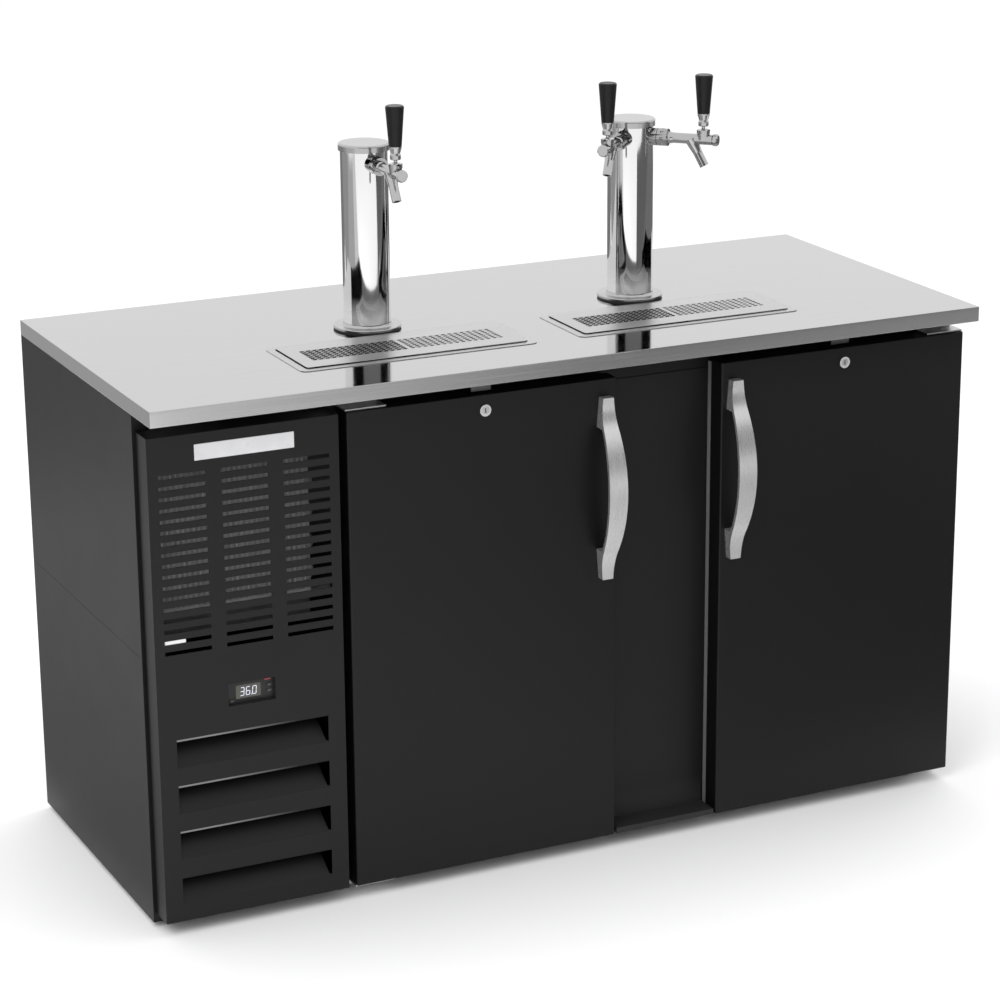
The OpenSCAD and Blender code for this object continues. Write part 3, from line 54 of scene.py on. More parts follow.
# Camera at the photograph's viewpoint, in metres and degrees, with its film and lens in millimetres
CAMERA_X = -2.2471
CAMERA_BEFORE_TOP = 4.3817
CAMERA_Z = 2.1842
CAMERA_DOWN = 17.98
CAMERA_TURN = -26.817
CAMERA_FILM = 36
CAMERA_LENS = 111.394
CAMERA_SHIFT_X = -0.07348
CAMERA_SHIFT_Y = 0.04108
CAMERA_CLIP_END = 200


def make_camera():
    data = bpy.data.cameras.new("camera")
    data.sensor_width = CAMERA_FILM
    data.lens = CAMERA_LENS
    data.shift_x = CAMERA_SHIFT_X
    data.shift_y = CAMERA_SHIFT_Y
    data.clip_end = CAMERA_CLIP_END
    camera = bpy.data.objects.new("camera", data)
    camera.location = (CAMERA_X, top_lo.y - CAMERA_BEFORE_TOP, CAMERA_Z)
    camera.rotation_euler = (math.radians(90 - CAMERA_DOWN), 0, math.radians(CAMERA_TURN))
    scene.collection.objects.link(camera)
    scene.camera = camera


make_camera()


# Material helpers

# Places of the share, the two colours and the result among the mix node's sockets
MIX_INPUTS = (0, 6, 7)
MIX_RESULT = 2
# Samples of the bevel that rounds edges in a material
BEVEL_SAMPLES = 4
# Part of a noise's range in which most of its values lie
NOISE_LOW = 0.3
NOISE_HIGH = 0.7


class Material:
    """A node material with a Principled shader and short calls for the nodes it uses."""

    def __init__(self, name):
        self.data = bpy.data.materials.new(name)
        self.data.use_nodes = True
        self.tree = self.data.node_tree
        self.shader = next(node for node in self.tree.nodes if node.type == "BSDF_PRINCIPLED")
        self.place = self.tree.nodes.new("ShaderNodeTexCoord").outputs["Object"]

    def feed(self, socket, value):
        """Link another node's output to a socket, or set a plain value on it."""
        if isinstance(value, bpy.types.NodeSocket):
            self.tree.links.new(value, socket)
        else:
            socket.default_value = value

    def set(self, **values):
        """Set the shader's own sockets, with underscores for the spaces in their names."""
        for name, value in values.items():
            self.shader.inputs[name.replace("_", " ")].default_value = value

    def to(self, name, output):
        """Link an output to one of the shader's sockets."""
        self.tree.links.new(output, self.shader.inputs[name])

    def colour(self):
        """The output that feeds the base colour so far."""
        return self.shader.inputs["Base Color"].links[0].from_socket

    def node(self, kind, **inputs):
        node = self.tree.nodes.new(kind)
        for name, value in inputs.items():
            self.feed(node.inputs[name], value)
        return node

    def axis(self, name):
        """A point's place along one axis of the part's frame."""
        return self.node("ShaderNodeSeparateXYZ", Vector=self.place).outputs[name]

    def noise(self, scale, detail, stretch=None):
        place = self.place
        if stretch:
            place = self.node("ShaderNodeMapping", Vector=place, Scale=stretch).outputs["Vector"]
        return self.node("ShaderNodeTexNoise", Vector=place, Scale=scale, Detail=detail).outputs["Fac"]

    def span(self, value, start, end, low=NOISE_LOW, high=NOISE_HIGH):
        """Run from start to end while the value runs from low to high, and hold them beyond."""
        node = self.node("ShaderNodeMapRange", Value=value)
        limits = {"From Min": low, "From Max": high, "To Min": start, "To Max": end}
        for name, limit in limits.items():
            node.inputs[name].default_value = limit
        return node.outputs["Result"]

    def mix(self, share, first, second):
        """The first colour where the share is 0, and the second where it is 1."""
        node = self.tree.nodes.new("ShaderNodeMix")
        node.data_type = "RGBA"
        for place, value in zip(MIX_INPUTS, (share, first, second)):
            self.feed(node.inputs[place], value)
        return node.outputs[MIX_RESULT]

    def operate(self, operation, first, second=0.0, third=0.0):
        node = self.tree.nodes.new("ShaderNodeMath")
        node.operation = operation
        for socket, value in zip(node.inputs, (first, second, third)):
            self.feed(socket, value)
        return node.outputs[0]

    def join(self, operation, *parts):
        """Join all the parts by one operation, in their order."""
        result = parts[0]
        for part in parts[1:]:
            result = self.operate(operation, result, part)
        return result

    def bump(self, height, strength, distance, edge=0.0):
        """Raise the surface by a height, over edges rounded to a radius."""
        node = self.node("ShaderNodeBump", Height=height, Strength=strength, Distance=distance)
        if edge:
            bevel = self.node("ShaderNodeBevel", Radius=edge)
            bevel.samples = BEVEL_SAMPLES
            self.feed(node.inputs["Normal"], bevel.outputs[0])
        self.to("Normal", node.outputs[0])


def grey(value):
    return (value, value, value, 1.0)


# Paint: slow changes of tone, slight changes of gloss, and a fine orange peel
PAINT_TONE_SCALE = 2.2
PAINT_GLOSS_SCALE = 9.0
PAINT_GLOSS_CHANGE = 0.012
PAINT_PEEL_SCALE = 1500.0
PAINT_PEEL_STRENGTH = 0.12
PAINT_PEEL_DEPTH = 0.0004
PAINT_EDGE = 0.0014


def paint(name, dark, light, specular, rough):
    material = Material(name)
    material.set(Specular_IOR_Level=specular)
    tone = material.noise(PAINT_TONE_SCALE, detail=3)
    gloss = material.noise(PAINT_GLOSS_SCALE, detail=4)
    peel = material.noise(PAINT_PEEL_SCALE, detail=2)
    material.to("Base Color", material.mix(tone, grey(dark), grey(light)))
    material.to("Roughness", material.span(gloss, rough - PAINT_GLOSS_CHANGE, rough + PAINT_GLOSS_CHANGE))
    material.bump(peel, PAINT_PEEL_STRENGTH, PAINT_PEEL_DEPTH, PAINT_EDGE)
    return material


# Brushed metal: lines along its grain change its tone, its gloss and its surface
BRUSH_DARKEST = 0.93
BRUSH_PALEST = 1.05
BRUSH_SMOOTHEST = 0.8
BRUSH_ROUGHEST = 1.25
BRUSH_DEPTH = 0.0003


def brushed(name, value, rough, stretch, edge=0.0, anisotropy=0.0, strength=0.06):
    """Brushed metal; stretch gives the lines' fineness along x, y and z."""
    material = Material(name)
    material.set(Metallic=1.0, Anisotropic=anisotropy)
    lines = material.noise(1.0, detail=3, stretch=stretch)
    material.to("Base Color", material.mix(lines, grey(value * BRUSH_DARKEST), grey(value * BRUSH_PALEST)))
    material.to("Roughness", material.span(lines, rough * BRUSH_SMOOTHEST, rough * BRUSH_ROUGHEST))
    material.bump(lines, strength, BRUSH_DEPTH, edge)
    return material


# Plastic: cloudy tone and gloss over a moulded grain
PLASTIC_TONE_SCALE = 40
PLASTIC_DARKEST = 0.9
PLASTIC_PALEST = 1.08
PLASTIC_GLOSS_SCALE = 25
PLASTIC_SMOOTHER = 0.05
PLASTIC_ROUGHER = 0.06
PLASTIC_DEPTH = 0.0003


def plastic(name, value, rough, tint=(1, 1, 1), grain=1800.0, strength=0.1):
    material = Material(name)
    dark = [value * share * PLASTIC_DARKEST for share in tint]
    light = [value * share * PLASTIC_PALEST for share in tint]
    tone = material.noise(PLASTIC_TONE_SCALE, detail=3)
    gloss = material.noise(PLASTIC_GLOSS_SCALE, detail=3)
    material.to("Base Color", material.mix(tone, (*dark, 1), (*light, 1)))
    material.to("Roughness", material.span(gloss, rough - PLASTIC_SMOOTHER, rough + PLASTIC_ROUGHER))
    material.bump(material.noise(grain, detail=2), strength, PLASTIC_DEPTH)
    return material


# Chrome: a slight haze in tone and gloss
CHROME_HAZE_SCALE = 14
CHROME_TONE_CHANGE = 0.03
CHROME_SMOOTHEST = 0.7
CHROME_ROUGHEST = 1.4


def chrome(name, value, rough):
    material = Material(name)
    material.set(Metallic=1.0)
    haze = material.noise(CHROME_HAZE_SCALE, detail=4)
    dark = grey(value - CHROME_TONE_CHANGE)
    light = grey(value + CHROME_TONE_CHANGE)
    material.to("Base Color", material.mix(haze, dark, light))
    material.to("Roughness", material.span(haze, rough * CHROME_SMOOTHEST, rough * CHROME_ROUGHEST))
    return material


# Column chrome, duller just above the worktop
COLUMN_DULL = 0.62
COLUMN_DULL_BELOW = 0.025
COLUMN_CLEAR_ABOVE = 0.06


def column_material():
    material = chrome("chrome_column", value=0.82, rough=0.06)
    dull_z = top_hi.z + COLUMN_DULL_BELOW
    clear_z = top_hi.z + COLUMN_CLEAR_ABOVE
    material.to("Metallic", material.span(material.axis("Z"), COLUMN_DULL, 1.0, dull_z, clear_z))
    return material


# Grate pattern as in the solids: columns and rows of holes in two zones, with a web between the zones
GRATE_COLUMNS = 15
GRATE_ROWS = 7
GRATE_PITCH = 0.0115
GRATE_ROW_PITCH = 0.0095
GRATE_WEB = 0.014
# Radius of the rims of painted shade round the holes, and of the small holes painted in shade between them
GRATE_SHADE_RIM_R = 0.0040
GRATE_SMALL_R = 0.0033
# Depth below a grate's top, and for the trays below its underside, from which steel has painted shade
GRATE_SHADE_DEPTH = 0.0006
TRAY_SHADE_DEPTH = 0.001
# Tones of the painted shade from left to right: in a tray, and in the left and right zone of a grate
TRAY_SHADE = (0.10, 0.34)
LEFT_ZONE_SHADE = (0.004, 0.016)
RIGHT_ZONE_SHADE = (0.30, 0.50)
grate_w = grate_hi.x - grate_lo.x
grate_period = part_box("drip_grate_right")[0].x - grate_lo.x


def tray_steel(name):
    grain = (4, 420, 420)
    return brushed(name, value=0.58, rough=0.34, stretch=grain, edge=0.0014, anisotropy=0.2, strength=0.04)


def along_grate(material):
    """Distance from the left end of the grate or tray that a point belongs to."""
    from_left = material.operate("SUBTRACT", material.axis("X"), grate_lo.x)
    return material.operate("WRAP", from_left, grate_period)


def tray_material():
    """Tray steel with painted shade in the basins under the grates, darkest at their left."""
    material = tray_steel("stainless_tray")
    shade = material.span(along_grate(material), *TRAY_SHADE, 0.0, grate_w)
    # Painted shade on the basin steel below the grates
    dark = material.operate("LESS_THAN", material.axis("Z"), grate_lo.z - TRAY_SHADE_DEPTH)
    material.to("Base Color", material.mix(dark, material.colour(), shade))
    return material


def painted_hole_shade(material, along):
    """1 on the painted shade round a grate's holes and on the small holes painted between them, and 0
    elsewhere.
    """
    zone_w = (GRATE_COLUMNS - 1) * GRATE_PITCH
    zone_d = (GRATE_ROWS - 1) * GRATE_ROW_PITCH
    front = (grate_lo.y + grate_hi.y) / 2 - zone_d / 2
    across = material.operate("SUBTRACT", material.axis("Y"), front)
    inside = material.operate("COMPARE", across, zone_d / 2, zone_d / 2 + GRATE_SHADE_RIM_R)
    from_row = material.operate("PINGPONG", across, GRATE_ROW_PITCH / 2)
    holes = []
    for side in (-1, 1):
        start = grate_w / 2 + side * (GRATE_WEB + zone_w) / 2 - zone_w / 2
        in_zone = material.operate("SUBTRACT", along, start)
        zone = material.operate("COMPARE", in_zone, zone_w / 2, zone_w / 2 + GRATE_SHADE_RIM_R)
        from_column = material.operate("PINGPONG", in_zone, GRATE_PITCH / 2)
        for radius, shift in ((GRATE_SHADE_RIM_R, 0.0), (GRATE_SMALL_R, 0.5)):
            dx = material.operate("SUBTRACT", from_column, shift * GRATE_PITCH)
            dy = material.operate("SUBTRACT", from_row, shift * GRATE_ROW_PITCH)
            dx_squared = material.operate("MULTIPLY", dx, dx)
            dy_squared = material.operate("MULTIPLY", dy, dy)
            distance_squared = material.operate("ADD", dx_squared, dy_squared)
            near = material.operate("LESS_THAN", distance_squared, radius ** 2)
            holes.append(material.operate("MULTIPLY", near, zone))
    return material.operate("MULTIPLY", material.join("MAXIMUM", *holes), inside)


def grate_material():
    """Grate steel with painted shade in and round its holes, darker in its left zone."""
    material = tray_steel("stainless_grate")
    along = along_grate(material)
    # Painted shade, darker in the left zone than in the right
    left_shade = material.span(along, *LEFT_ZONE_SHADE, 0.0, grate_w / 2)
    right_shade = material.span(along, *RIGHT_ZONE_SHADE, grate_w / 2, grate_w)
    at_right = material.operate("GREATER_THAN", along, grate_w / 2)
    shade = material.mix(at_right, left_shade, right_shade)
    # Painted shade on the hole walls below the grate's top
    sunk = material.operate("LESS_THAN", material.axis("Z"), grate_hi.z - GRATE_SHADE_DEPTH)
    dark = material.operate("MAXIMUM", sunk, painted_hole_shade(material, along))
    material.to("Base Color", material.mix(dark, material.colour(), shade))
    return material


# Fin sheet with fine upright bands
FIN_BAND_SCALE = 260.0
FIN_BAND_WAVER = 0.4
FIN_DARK = 0.40
FIN_LIGHT = 0.52
FIN_GLOSS_SCALE = 30
FIN_SMOOTHEST = 0.4
FIN_ROUGHEST = 0.6


def fin_material():
    material = Material("fin_aluminium")
    material.set(Metallic=0.35)
    wave = material.node("ShaderNodeTexWave", Scale=FIN_BAND_SCALE, Distortion=FIN_BAND_WAVER)
    wave.bands_direction = "X"
    material.feed(wave.inputs["Vector"], material.place)
    bands = wave.outputs["Fac"]
    gloss = material.noise(FIN_GLOSS_SCALE, detail=3)
    material.to("Base Color", material.mix(bands, grey(FIN_DARK), grey(FIN_LIGHT)))
    material.to("Roughness", material.span(gloss, FIN_SMOOTHEST, FIN_ROUGHEST))
    material.bump(bands, strength=0.4, distance=0.001)
    return material


# Tone of the bright lining of the keg space
LINING_TONE = 0.5
# Slack by which the lining's own faces count as inside, and the step back from the front edges
LINING_SLACK = 0.0004
LINING_STEP_BACK = 0.0005


def lined_paint(name, dark, light):
    """Black paint that gives way to the bright lining on the faces of the keg space."""
    material = paint(name, dark, light, specular=0.27, rough=0.45)
    divider_lo, divider_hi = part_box("divider_wall")
    spaces = {
        "X": (divider_hi.x - LINING_SLACK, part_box("right_wall")[0].x + LINING_SLACK),
        "Y": (divider_lo.y + LINING_STEP_BACK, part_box("rear_wall")[0].y + LINING_SLACK),
        "Z": (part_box("floor_panel")[1].z - LINING_SLACK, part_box("ceiling_panel")[0].z + LINING_SLACK),
    }
    tests = []
    for name_of_axis, (low, high) in spaces.items():
        place = material.axis(name_of_axis)
        tests.append(material.operate("GREATER_THAN", place, low))
        tests.append(material.operate("LESS_THAN", place, high))
    inside = material.join("MULTIPLY", *tests)
    material.to("Base Color", material.mix(inside, material.colour(), grey(LINING_TONE)))
    material.to("Metallic", inside)
    return material


# Post paint with painted light at its foot: paler up to one height and fading out at the next
POST_FOOT_PAINTED_LIGHT = 0.022
POST_FOOT_H = 0.02
POST_FADE_H = 0.06


def post_material():
    material = lined_paint("black_paint_post", dark=0.0050, light=0.0064)
    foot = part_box("mullion_post")[0].z
    share = material.span(material.axis("Z"), 1.0, 0.0, foot + POST_FOOT_H, foot + POST_FADE_H)
    # Painted light: paler paint at the post's foot
    material.to("Base Color", material.mix(share, material.colour(), grey(POST_FOOT_PAINTED_LIGHT)))
    return material


# Sizes of the scoops in the grille panel, as in the solids
SCOOP_COUNT = 4
SCOOP_W = 0.263
SCOOP_H = 0.047
SCOOP_PITCH = 0.0797
SCOOP_FOOT = 0.030
SCOOP_LIP_R = 0.0024
# Painted highlight on the rolled lips: its tone, height, reach behind the panel's front, and fade to the
# right
LIP_HIGHLIGHT_TONE = 0.18
LIP_MIDDLE = SCOOP_H - SCOOP_LIP_R / 4
LIP_HALF_H = SCOOP_LIP_R * 0.9
LIP_REACH = SCOOP_LIP_R * 2
LIP_FADE_END = SCOOP_W * 0.2
LIP_FADE_START = SCOOP_W * 0.75
# Painted deep shade at the scoops' right ends: its width at their foot and top, its start behind the
# panel's front, and its reach past the ends
END_LOW_W = 0.004
END_HIGH_W = 0.012
END_STEP_BACK = 0.0016
END_SLACK = 0.002


def scoop_lip_highlights(material, inward, rise, in_rows):
    """1 on the painted highlight along the lips over the upper scoops, fading out towards their right ends.
    """
    return material.join(
        "MULTIPLY",
        material.operate("COMPARE", rise, LIP_MIDDLE, LIP_HALF_H),
        material.operate("LESS_THAN", material.axis("Y"), panel_lo.y + LIP_REACH),
        material.operate("GREATER_THAN", material.axis("Z"), panel_lo.z + SCOOP_FOOT + SCOOP_PITCH),
        material.span(inward, 0.0, 1.0, LIP_FADE_END, LIP_FADE_START),
        material.operate("LESS_THAN", inward, SCOOP_W),
        in_rows,
    )


def scoop_end_shade(material, inward, rise, in_rows):
    """1 in the painted deep shade at the scoops' right ends, which widens upwards."""
    return material.join(
        "MULTIPLY",
        material.operate("LESS_THAN", inward, material.span(rise, END_LOW_W, END_HIGH_W, 0.0, SCOOP_H)),
        material.operate("GREATER_THAN", material.axis("Y"), panel_lo.y + END_STEP_BACK),
        in_rows,
        material.operate("GREATER_THAN", inward, -END_SLACK),
    )


def grille_material():
    """Panel paint with painted highlights on the lips over the upper scoops and painted deep shade at their
    right ends.
    """
    material = paint("black_paint_grille", dark=0.0028, light=0.0038, specular=0.31, rough=0.45)
    foot = panel_lo.z + SCOOP_FOOT
    height = material.axis("Z")
    inward = material.operate("SUBTRACT", face_x + SCOOP_W / 2, material.axis("X"))
    rise = material.operate("WRAP", material.operate("SUBTRACT", height, foot), SCOOP_PITCH)
    in_rows = material.operate("LESS_THAN", height, foot + SCOOP_COUNT * SCOOP_PITCH - SCOOP_LIP_R)
    lips = scoop_lip_highlights(material, inward, rise, in_rows)
    ends = scoop_end_shade(material, inward, rise, in_rows)
    # Painted highlight along the lips
    with_lip_highlights = material.mix(lips, material.colour(), grey(LIP_HIGHLIGHT_TONE))
    # Painted shade at the scoops' right ends: black, and without reflection
    material.to("Base Color", material.mix(ends, with_lip_highlights, grey(0.0)))
    material.to("Metallic", ends)
    return material


# Finishes of the nodes

black_door = paint("black_paint_doors", dark=0.0026, light=0.0034, specular=0.27, rough=0.42)
black_side = paint("black_paint_sides", dark=0.0028, light=0.0038, specular=0.31, rough=0.45)
black_lined = lined_paint("black_paint_lined", dark=0.0028, light=0.0038)
black_post = post_material()
black_grille = grille_material()
steel_top = brushed(
    "stainless_worktop", value=0.515, rough=0.08, stretch=(3, 420, 420), edge=0.0012, anisotropy=0.3,
    strength=0.02,
)
steel_tray = tray_material()
steel_grate = grate_material()
satin = brushed("satin_handle", value=0.62, rough=0.30, stretch=(900, 120, 12), strength=0.002)
satin.set(Metallic=0.78)
zinc = brushed("zinc_plate", value=0.55, rough=0.34, stretch=(160, 160, 160), edge=0.0006)
dark_zinc = brushed("dark_zinc_plate", value=0.16, rough=0.42, stretch=(160, 160, 160), edge=0.0006)
galvanised = brushed("galvanised_sheet", value=0.52, rough=0.40, stretch=(45, 45, 45))
fin_sheet = fin_material()
chrome_column = column_material()
chrome_cap = chrome("chrome_cap", value=0.46, rough=0.14)
chrome_base = chrome("chrome_flange", value=0.48, rough=0.22)
chrome_cast = chrome("chrome_fittings", value=0.47, rough=0.12)
chrome_shank = chrome("chrome_shank", value=0.40, rough=0.12)
chrome_lock = chrome("chrome_lock", value=0.64, rough=0.12)
rubber = plastic("black_rubber", value=0.012, rough=0.6)
gasket = plastic("grey_gasket", value=0.16, rough=0.55)
liner = plastic("liner_plastic", value=0.62, rough=0.4)
dark_plastic = plastic("dark_plastic", value=0.02, rough=0.4)
key_plastic = plastic("key_plastic", value=0.03, rough=0.45)
face_plastic = plastic("face_plastic", value=0.007, rough=0.5)
tap_black = plastic("tap_plastic", value=0.009, rough=0.30, grain=300.0, strength=0.02)
tap_black.set(Specular_IOR_Level=0.20)

# Finishes by the nodes' own names
FINISHES = (
    (black_side, ("base_pan", "left_end_panel", "machine_rear_cover", "compressor")),
    (black_door, ("left_door_shell", "right_door_shell")),
    (black_lined, ("right_wall", "rear_wall", "divider_wall", "ceiling_panel", "floor_panel")),
    (black_post, ("mullion_post",)),
    (black_grille, ("grille_panel",)),
    (steel_top, ("countertop",)),
    (steel_tray, ("drip_trays",)),
    (steel_grate, ("drip_grate_left", "drip_grate_right")),
    (satin, ("left_door_handle", "right_door_handle")),
    (galvanised, ("evaporator_housing",)),
    (fin_sheet, ("condenser_coil", "evaporator_coil")),
    (chrome_column, ("tower_columns",)),
    (chrome_cap, ("tower_caps",)),
    (chrome_base, ("tower_bases",)),
    (chrome_cast, ("faucet_bodies", "faucet_bonnets")),
    (chrome_shank, ("tap_shanks", "coupling_nuts")),
    (chrome_lock, ("left_lock_barrel", "right_lock_barrel")),
    (rubber, ("tower_seals", "levelling_feet")),
    (gasket, ("left_door_gasket", "right_door_gasket")),
    (liner, ("left_door_liner", "right_door_liner")),
    (dark_plastic, ("controller_case", "condenser_fan", "evaporator_fan")),
    (face_plastic, ("controller_face",)),
)
# Finishes by words in the nodes' names
FINISHES_BY_WORDS = (
    (key_plastic, "controller_key"),
    (tap_black, "tap_handle"),
    (chrome_cast, "tap_lever"),
    (dark_zinc, "strike"),
)


def finish_of(name):
    """A node's finish, which is zinc plate where nothing else is given."""
    for material, names in FINISHES:
        if name in names:
            return material
    for material, words in FINISHES_BY_WORDS:
        if words in name:
            return material
    return zinc


for name, node in nodes.items():
    node.data.materials.clear()
    node.data.materials.append(finish_of(name).data)


# Piece helpers

# Steps in a plate's rounded corner
CORNER_STEPS = 6


def add_piece(name, bm, material, body):
    mesh = bpy.data.meshes.new(name)
    bm.to_mesh(mesh)
    bm.free()
    mesh.materials.append(material.data)
    piece = bpy.data.objects.new(name, mesh)
    scene.collection.objects.link(piece)
    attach(piece, body)


def rounded_plate(width, height, thick, radius, edge):
    """Plate in the XZ plane, centred on the origin, its back at y = 0 and its front at y = -thick."""
    outline = []
    for quarter, (side_x, side_z) in enumerate(((1, 1), (-1, 1), (-1, -1), (1, -1))):
        for step in range(CORNER_STEPS + 1):
            angle = math.radians(90 * quarter + 90 * step / CORNER_STEPS)
            x = side_x * (width / 2 - radius) + radius * math.cos(angle)
            z = side_z * (height / 2 - radius) + radius * math.sin(angle)
            outline.append((x, z))
    bm = bmesh.new()
    rings = []
    for y, inset in ((0, 0), (edge - thick, 0), (-thick, edge)):
        scale_x = (width - 2 * inset) / width
        scale_z = (height - 2 * inset) / height
        rings.append([bm.verts.new((x * scale_x, y, z * scale_z)) for x, z in outline])
    for back, front in zip(rings, rings[1:]):
        for i in range(len(outline)):
            j = (i + 1) % len(outline)
            bm.faces.new((back[i], back[j], front[j], front[i]))
    bm.faces.new(rings[-1])
    bm.faces.new(list(reversed(rings[0])))
    bmesh.ops.recalc_face_normals(bm, faces=bm.faces)
    return bm


def add_plate(name, size, place, material):
    """Rounded plate on the cabinet; its size is width, height, thickness, corner radius and edge."""
    bm = rounded_plate(*size)
    bmesh.ops.translate(bm, verts=bm.verts, vec=place)
    add_piece(name, bm, material, "cabinet")


def thicken(bm, face, depth):
    """Give a flat face a thickness towards what carries it."""
    made = bmesh.ops.extrude_face_region(bm, geom=[face])["geom"]
    verts = [item for item in made if isinstance(item, bmesh.types.BMVert)]
    bmesh.ops.translate(bm, verts=verts, vec=(0, depth, 0))


# Bare plate high on the grille panel
PLATE_SIZE = (0.168, 0.0265, 0.0014, 0.001, 0.0004)
PLATE_FROM_LEFT = 0.168
PLATE_Z = 0.8195
plate_enamel = plastic("plate_enamel", value=0.60, rough=0.3, tint=(1, 1, 1.02), grain=600.0, strength=0.03)
plate_place = (top_lo.x + PLATE_FROM_LEFT, panel_lo.y, PLATE_Z)
add_plate("nameplate", PLATE_SIZE, plate_place, plate_enamel)


# Fin block of the condenser, as in the solids
FIN_COUNT = 30
FIN_GAP = 0.006
FIN_DEPTH = 0.038
FIN_BLOCK_W = 0.270
FIN_BLOCK_H = 0.258
FIN_BLOCK_EDGE = 0.004
FIN_BLOCK_FROM_LEFT = 0.026
# Fine fins in each of the block's gaps
FINE_FINS = 8
FINE_FIN_T = 0.0004
FINE_FIN_SETBACK = 0.001
FINE_FIN_SLACK = 0.0006
fin_block_x = top_lo.x + FIN_BLOCK_FROM_LEFT


def add_fine_fins():
    pitch = FIN_BLOCK_W / FIN_COUNT
    height = FIN_BLOCK_H - 2 * FIN_BLOCK_EDGE - FINE_FIN_SLACK
    y = coil_lo.y + FIN_DEPTH / 2
    z = coil_hi.z - FIN_BLOCK_H / 2
    bm = bmesh.new()
    for gap in range(FIN_COUNT):
        for number in range(FINE_FINS):
            in_gap = ((number + 0.5) / FINE_FINS - 0.5) * FIN_GAP
            x = fin_block_x + (gap + 0.5) * pitch + in_gap
            fin = bmesh.ops.create_cube(bm, size=1.0)["verts"]
            bmesh.ops.scale(bm, verts=fin, vec=(FINE_FIN_T, FIN_DEPTH - FINE_FIN_SETBACK, height))
            bmesh.ops.translate(bm, verts=fin, vec=(x, y, z))
    add_piece("condenser_fine_fins", bm, fin_sheet, "cabinet")


add_fine_fins()


# Thin baffle that closes the gap under the fin block
BAFFLE_NARROWER = 0.004
BAFFLE_H = 0.040
BAFFLE_SIZE = (FIN_BLOCK_W - BAFFLE_NARROWER, BAFFLE_H, 0.0008, 0.001, 0.0002)
BAFFLE_SETBACK = 0.002
BAFFLE_GAP = 0.0005
baffle_z = coil_hi.z - FIN_BLOCK_H - BAFFLE_H / 2 - BAFFLE_GAP
baffle_place = (fin_block_x + FIN_BLOCK_W / 2, coil_lo.y + BAFFLE_SETBACK, baffle_z)
baffle_grey = plastic("baffle_grey", value=0.05, rough=0.5)
add_plate("condenser_baffle", BAFFLE_SIZE, baffle_place, baffle_grey)


# Slots of the grille panel, as in the solids
SLOT_L = 0.079
SLOT_PITCH = 0.0183
SLOT_COLUMN_PITCH = 0.105
SLOT_BELOW_TOP = 0.066
PANEL_SKIN = 0.0015
# White tag behind a slot of the left column
TAG_W = 0.036
TAG_SIZE = (TAG_W, 0.009, 0.0006, 0.0008, 0.0001)
TAG_ROW = 15
TAG_BEHIND_SKIN = 0.0008
tag_x = face_x - SLOT_COLUMN_PITCH - SLOT_L / 2 + TAG_W / 2
tag_z = panel_hi.z - SLOT_BELOW_TOP - TAG_ROW * SLOT_PITCH
tag_place = (tag_x, panel_lo.y + PANEL_SKIN + TAG_BEHIND_SKIN, tag_z)
tag_white = plastic("tag_white", value=0.85, rough=0.5)
add_plate("cable_tag", TAG_SIZE, tag_place, tag_white)


# Display window, a little left of the middle of the controller's face
WINDOW_SIZE = (0.0430, 0.0230, 0.0004, 0.0015, 0.0001)
WINDOW_LEFT = 0.0035
WINDOW_DARK = (0.055, 0.055, 0.044, 1)
WINDOW_LIGHT = (0.072, 0.072, 0.058, 1)
WINDOW_TONE_SCALE = 60
window_x = face_x - WINDOW_LEFT


def window_material():
    material = Material("display_window")
    material.set(Roughness=0.15)
    tone = material.noise(WINDOW_TONE_SCALE, detail=2)
    material.to("Base Color", material.mix(tone, WINDOW_DARK, WINDOW_LIGHT))
    return material


window_place = (window_x, face_lo.y, face_z)
add_plate("display_window", WINDOW_SIZE, window_place, window_material())


# Plain seven-segment digits with a point: their bars, size, places from the window's middle, and glow
SEGMENTS = {"0": "abcdef", "3": "abgcd", "6": "acdefg"}
DIGITS = (("3", -0.0105), ("6", -0.0005), ("0", 0.0105))
DIGIT_W = 0.0062
DIGIT_H = 0.0135
DIGIT_T = 0.0003
DIGIT_FRONT = 0.0007
DIGIT_LEAN = 0.08
BAR_T = DIGIT_W * 0.20
BAR_GAP = BAR_T * 0.15
POINT_R = 0.0008
POINT_SIDES = 12
POINT_RIGHT = 0.0052
POINT_DOWN = 0.0068
GLOW_STRENGTH = 0.40
GLOW_COLOUR = (0.78, 0.78, 0.95, 1)
GLOW_DARK = (0.5, 0.5, 0.6, 1)
GLOW_LIGHT = (0.6, 0.6, 0.68, 1)
GLOW_TONE_SCALE = 90
digit_y = face_lo.y - DIGIT_FRONT


def glow_material():
    material = Material("display_glow")
    material.set(Emission_Strength=GLOW_STRENGTH, Emission_Color=GLOW_COLOUR)
    tone = material.noise(GLOW_TONE_SCALE, detail=2)
    material.to("Base Color", material.mix(tone, GLOW_DARK, GLOW_LIGHT))
    return material


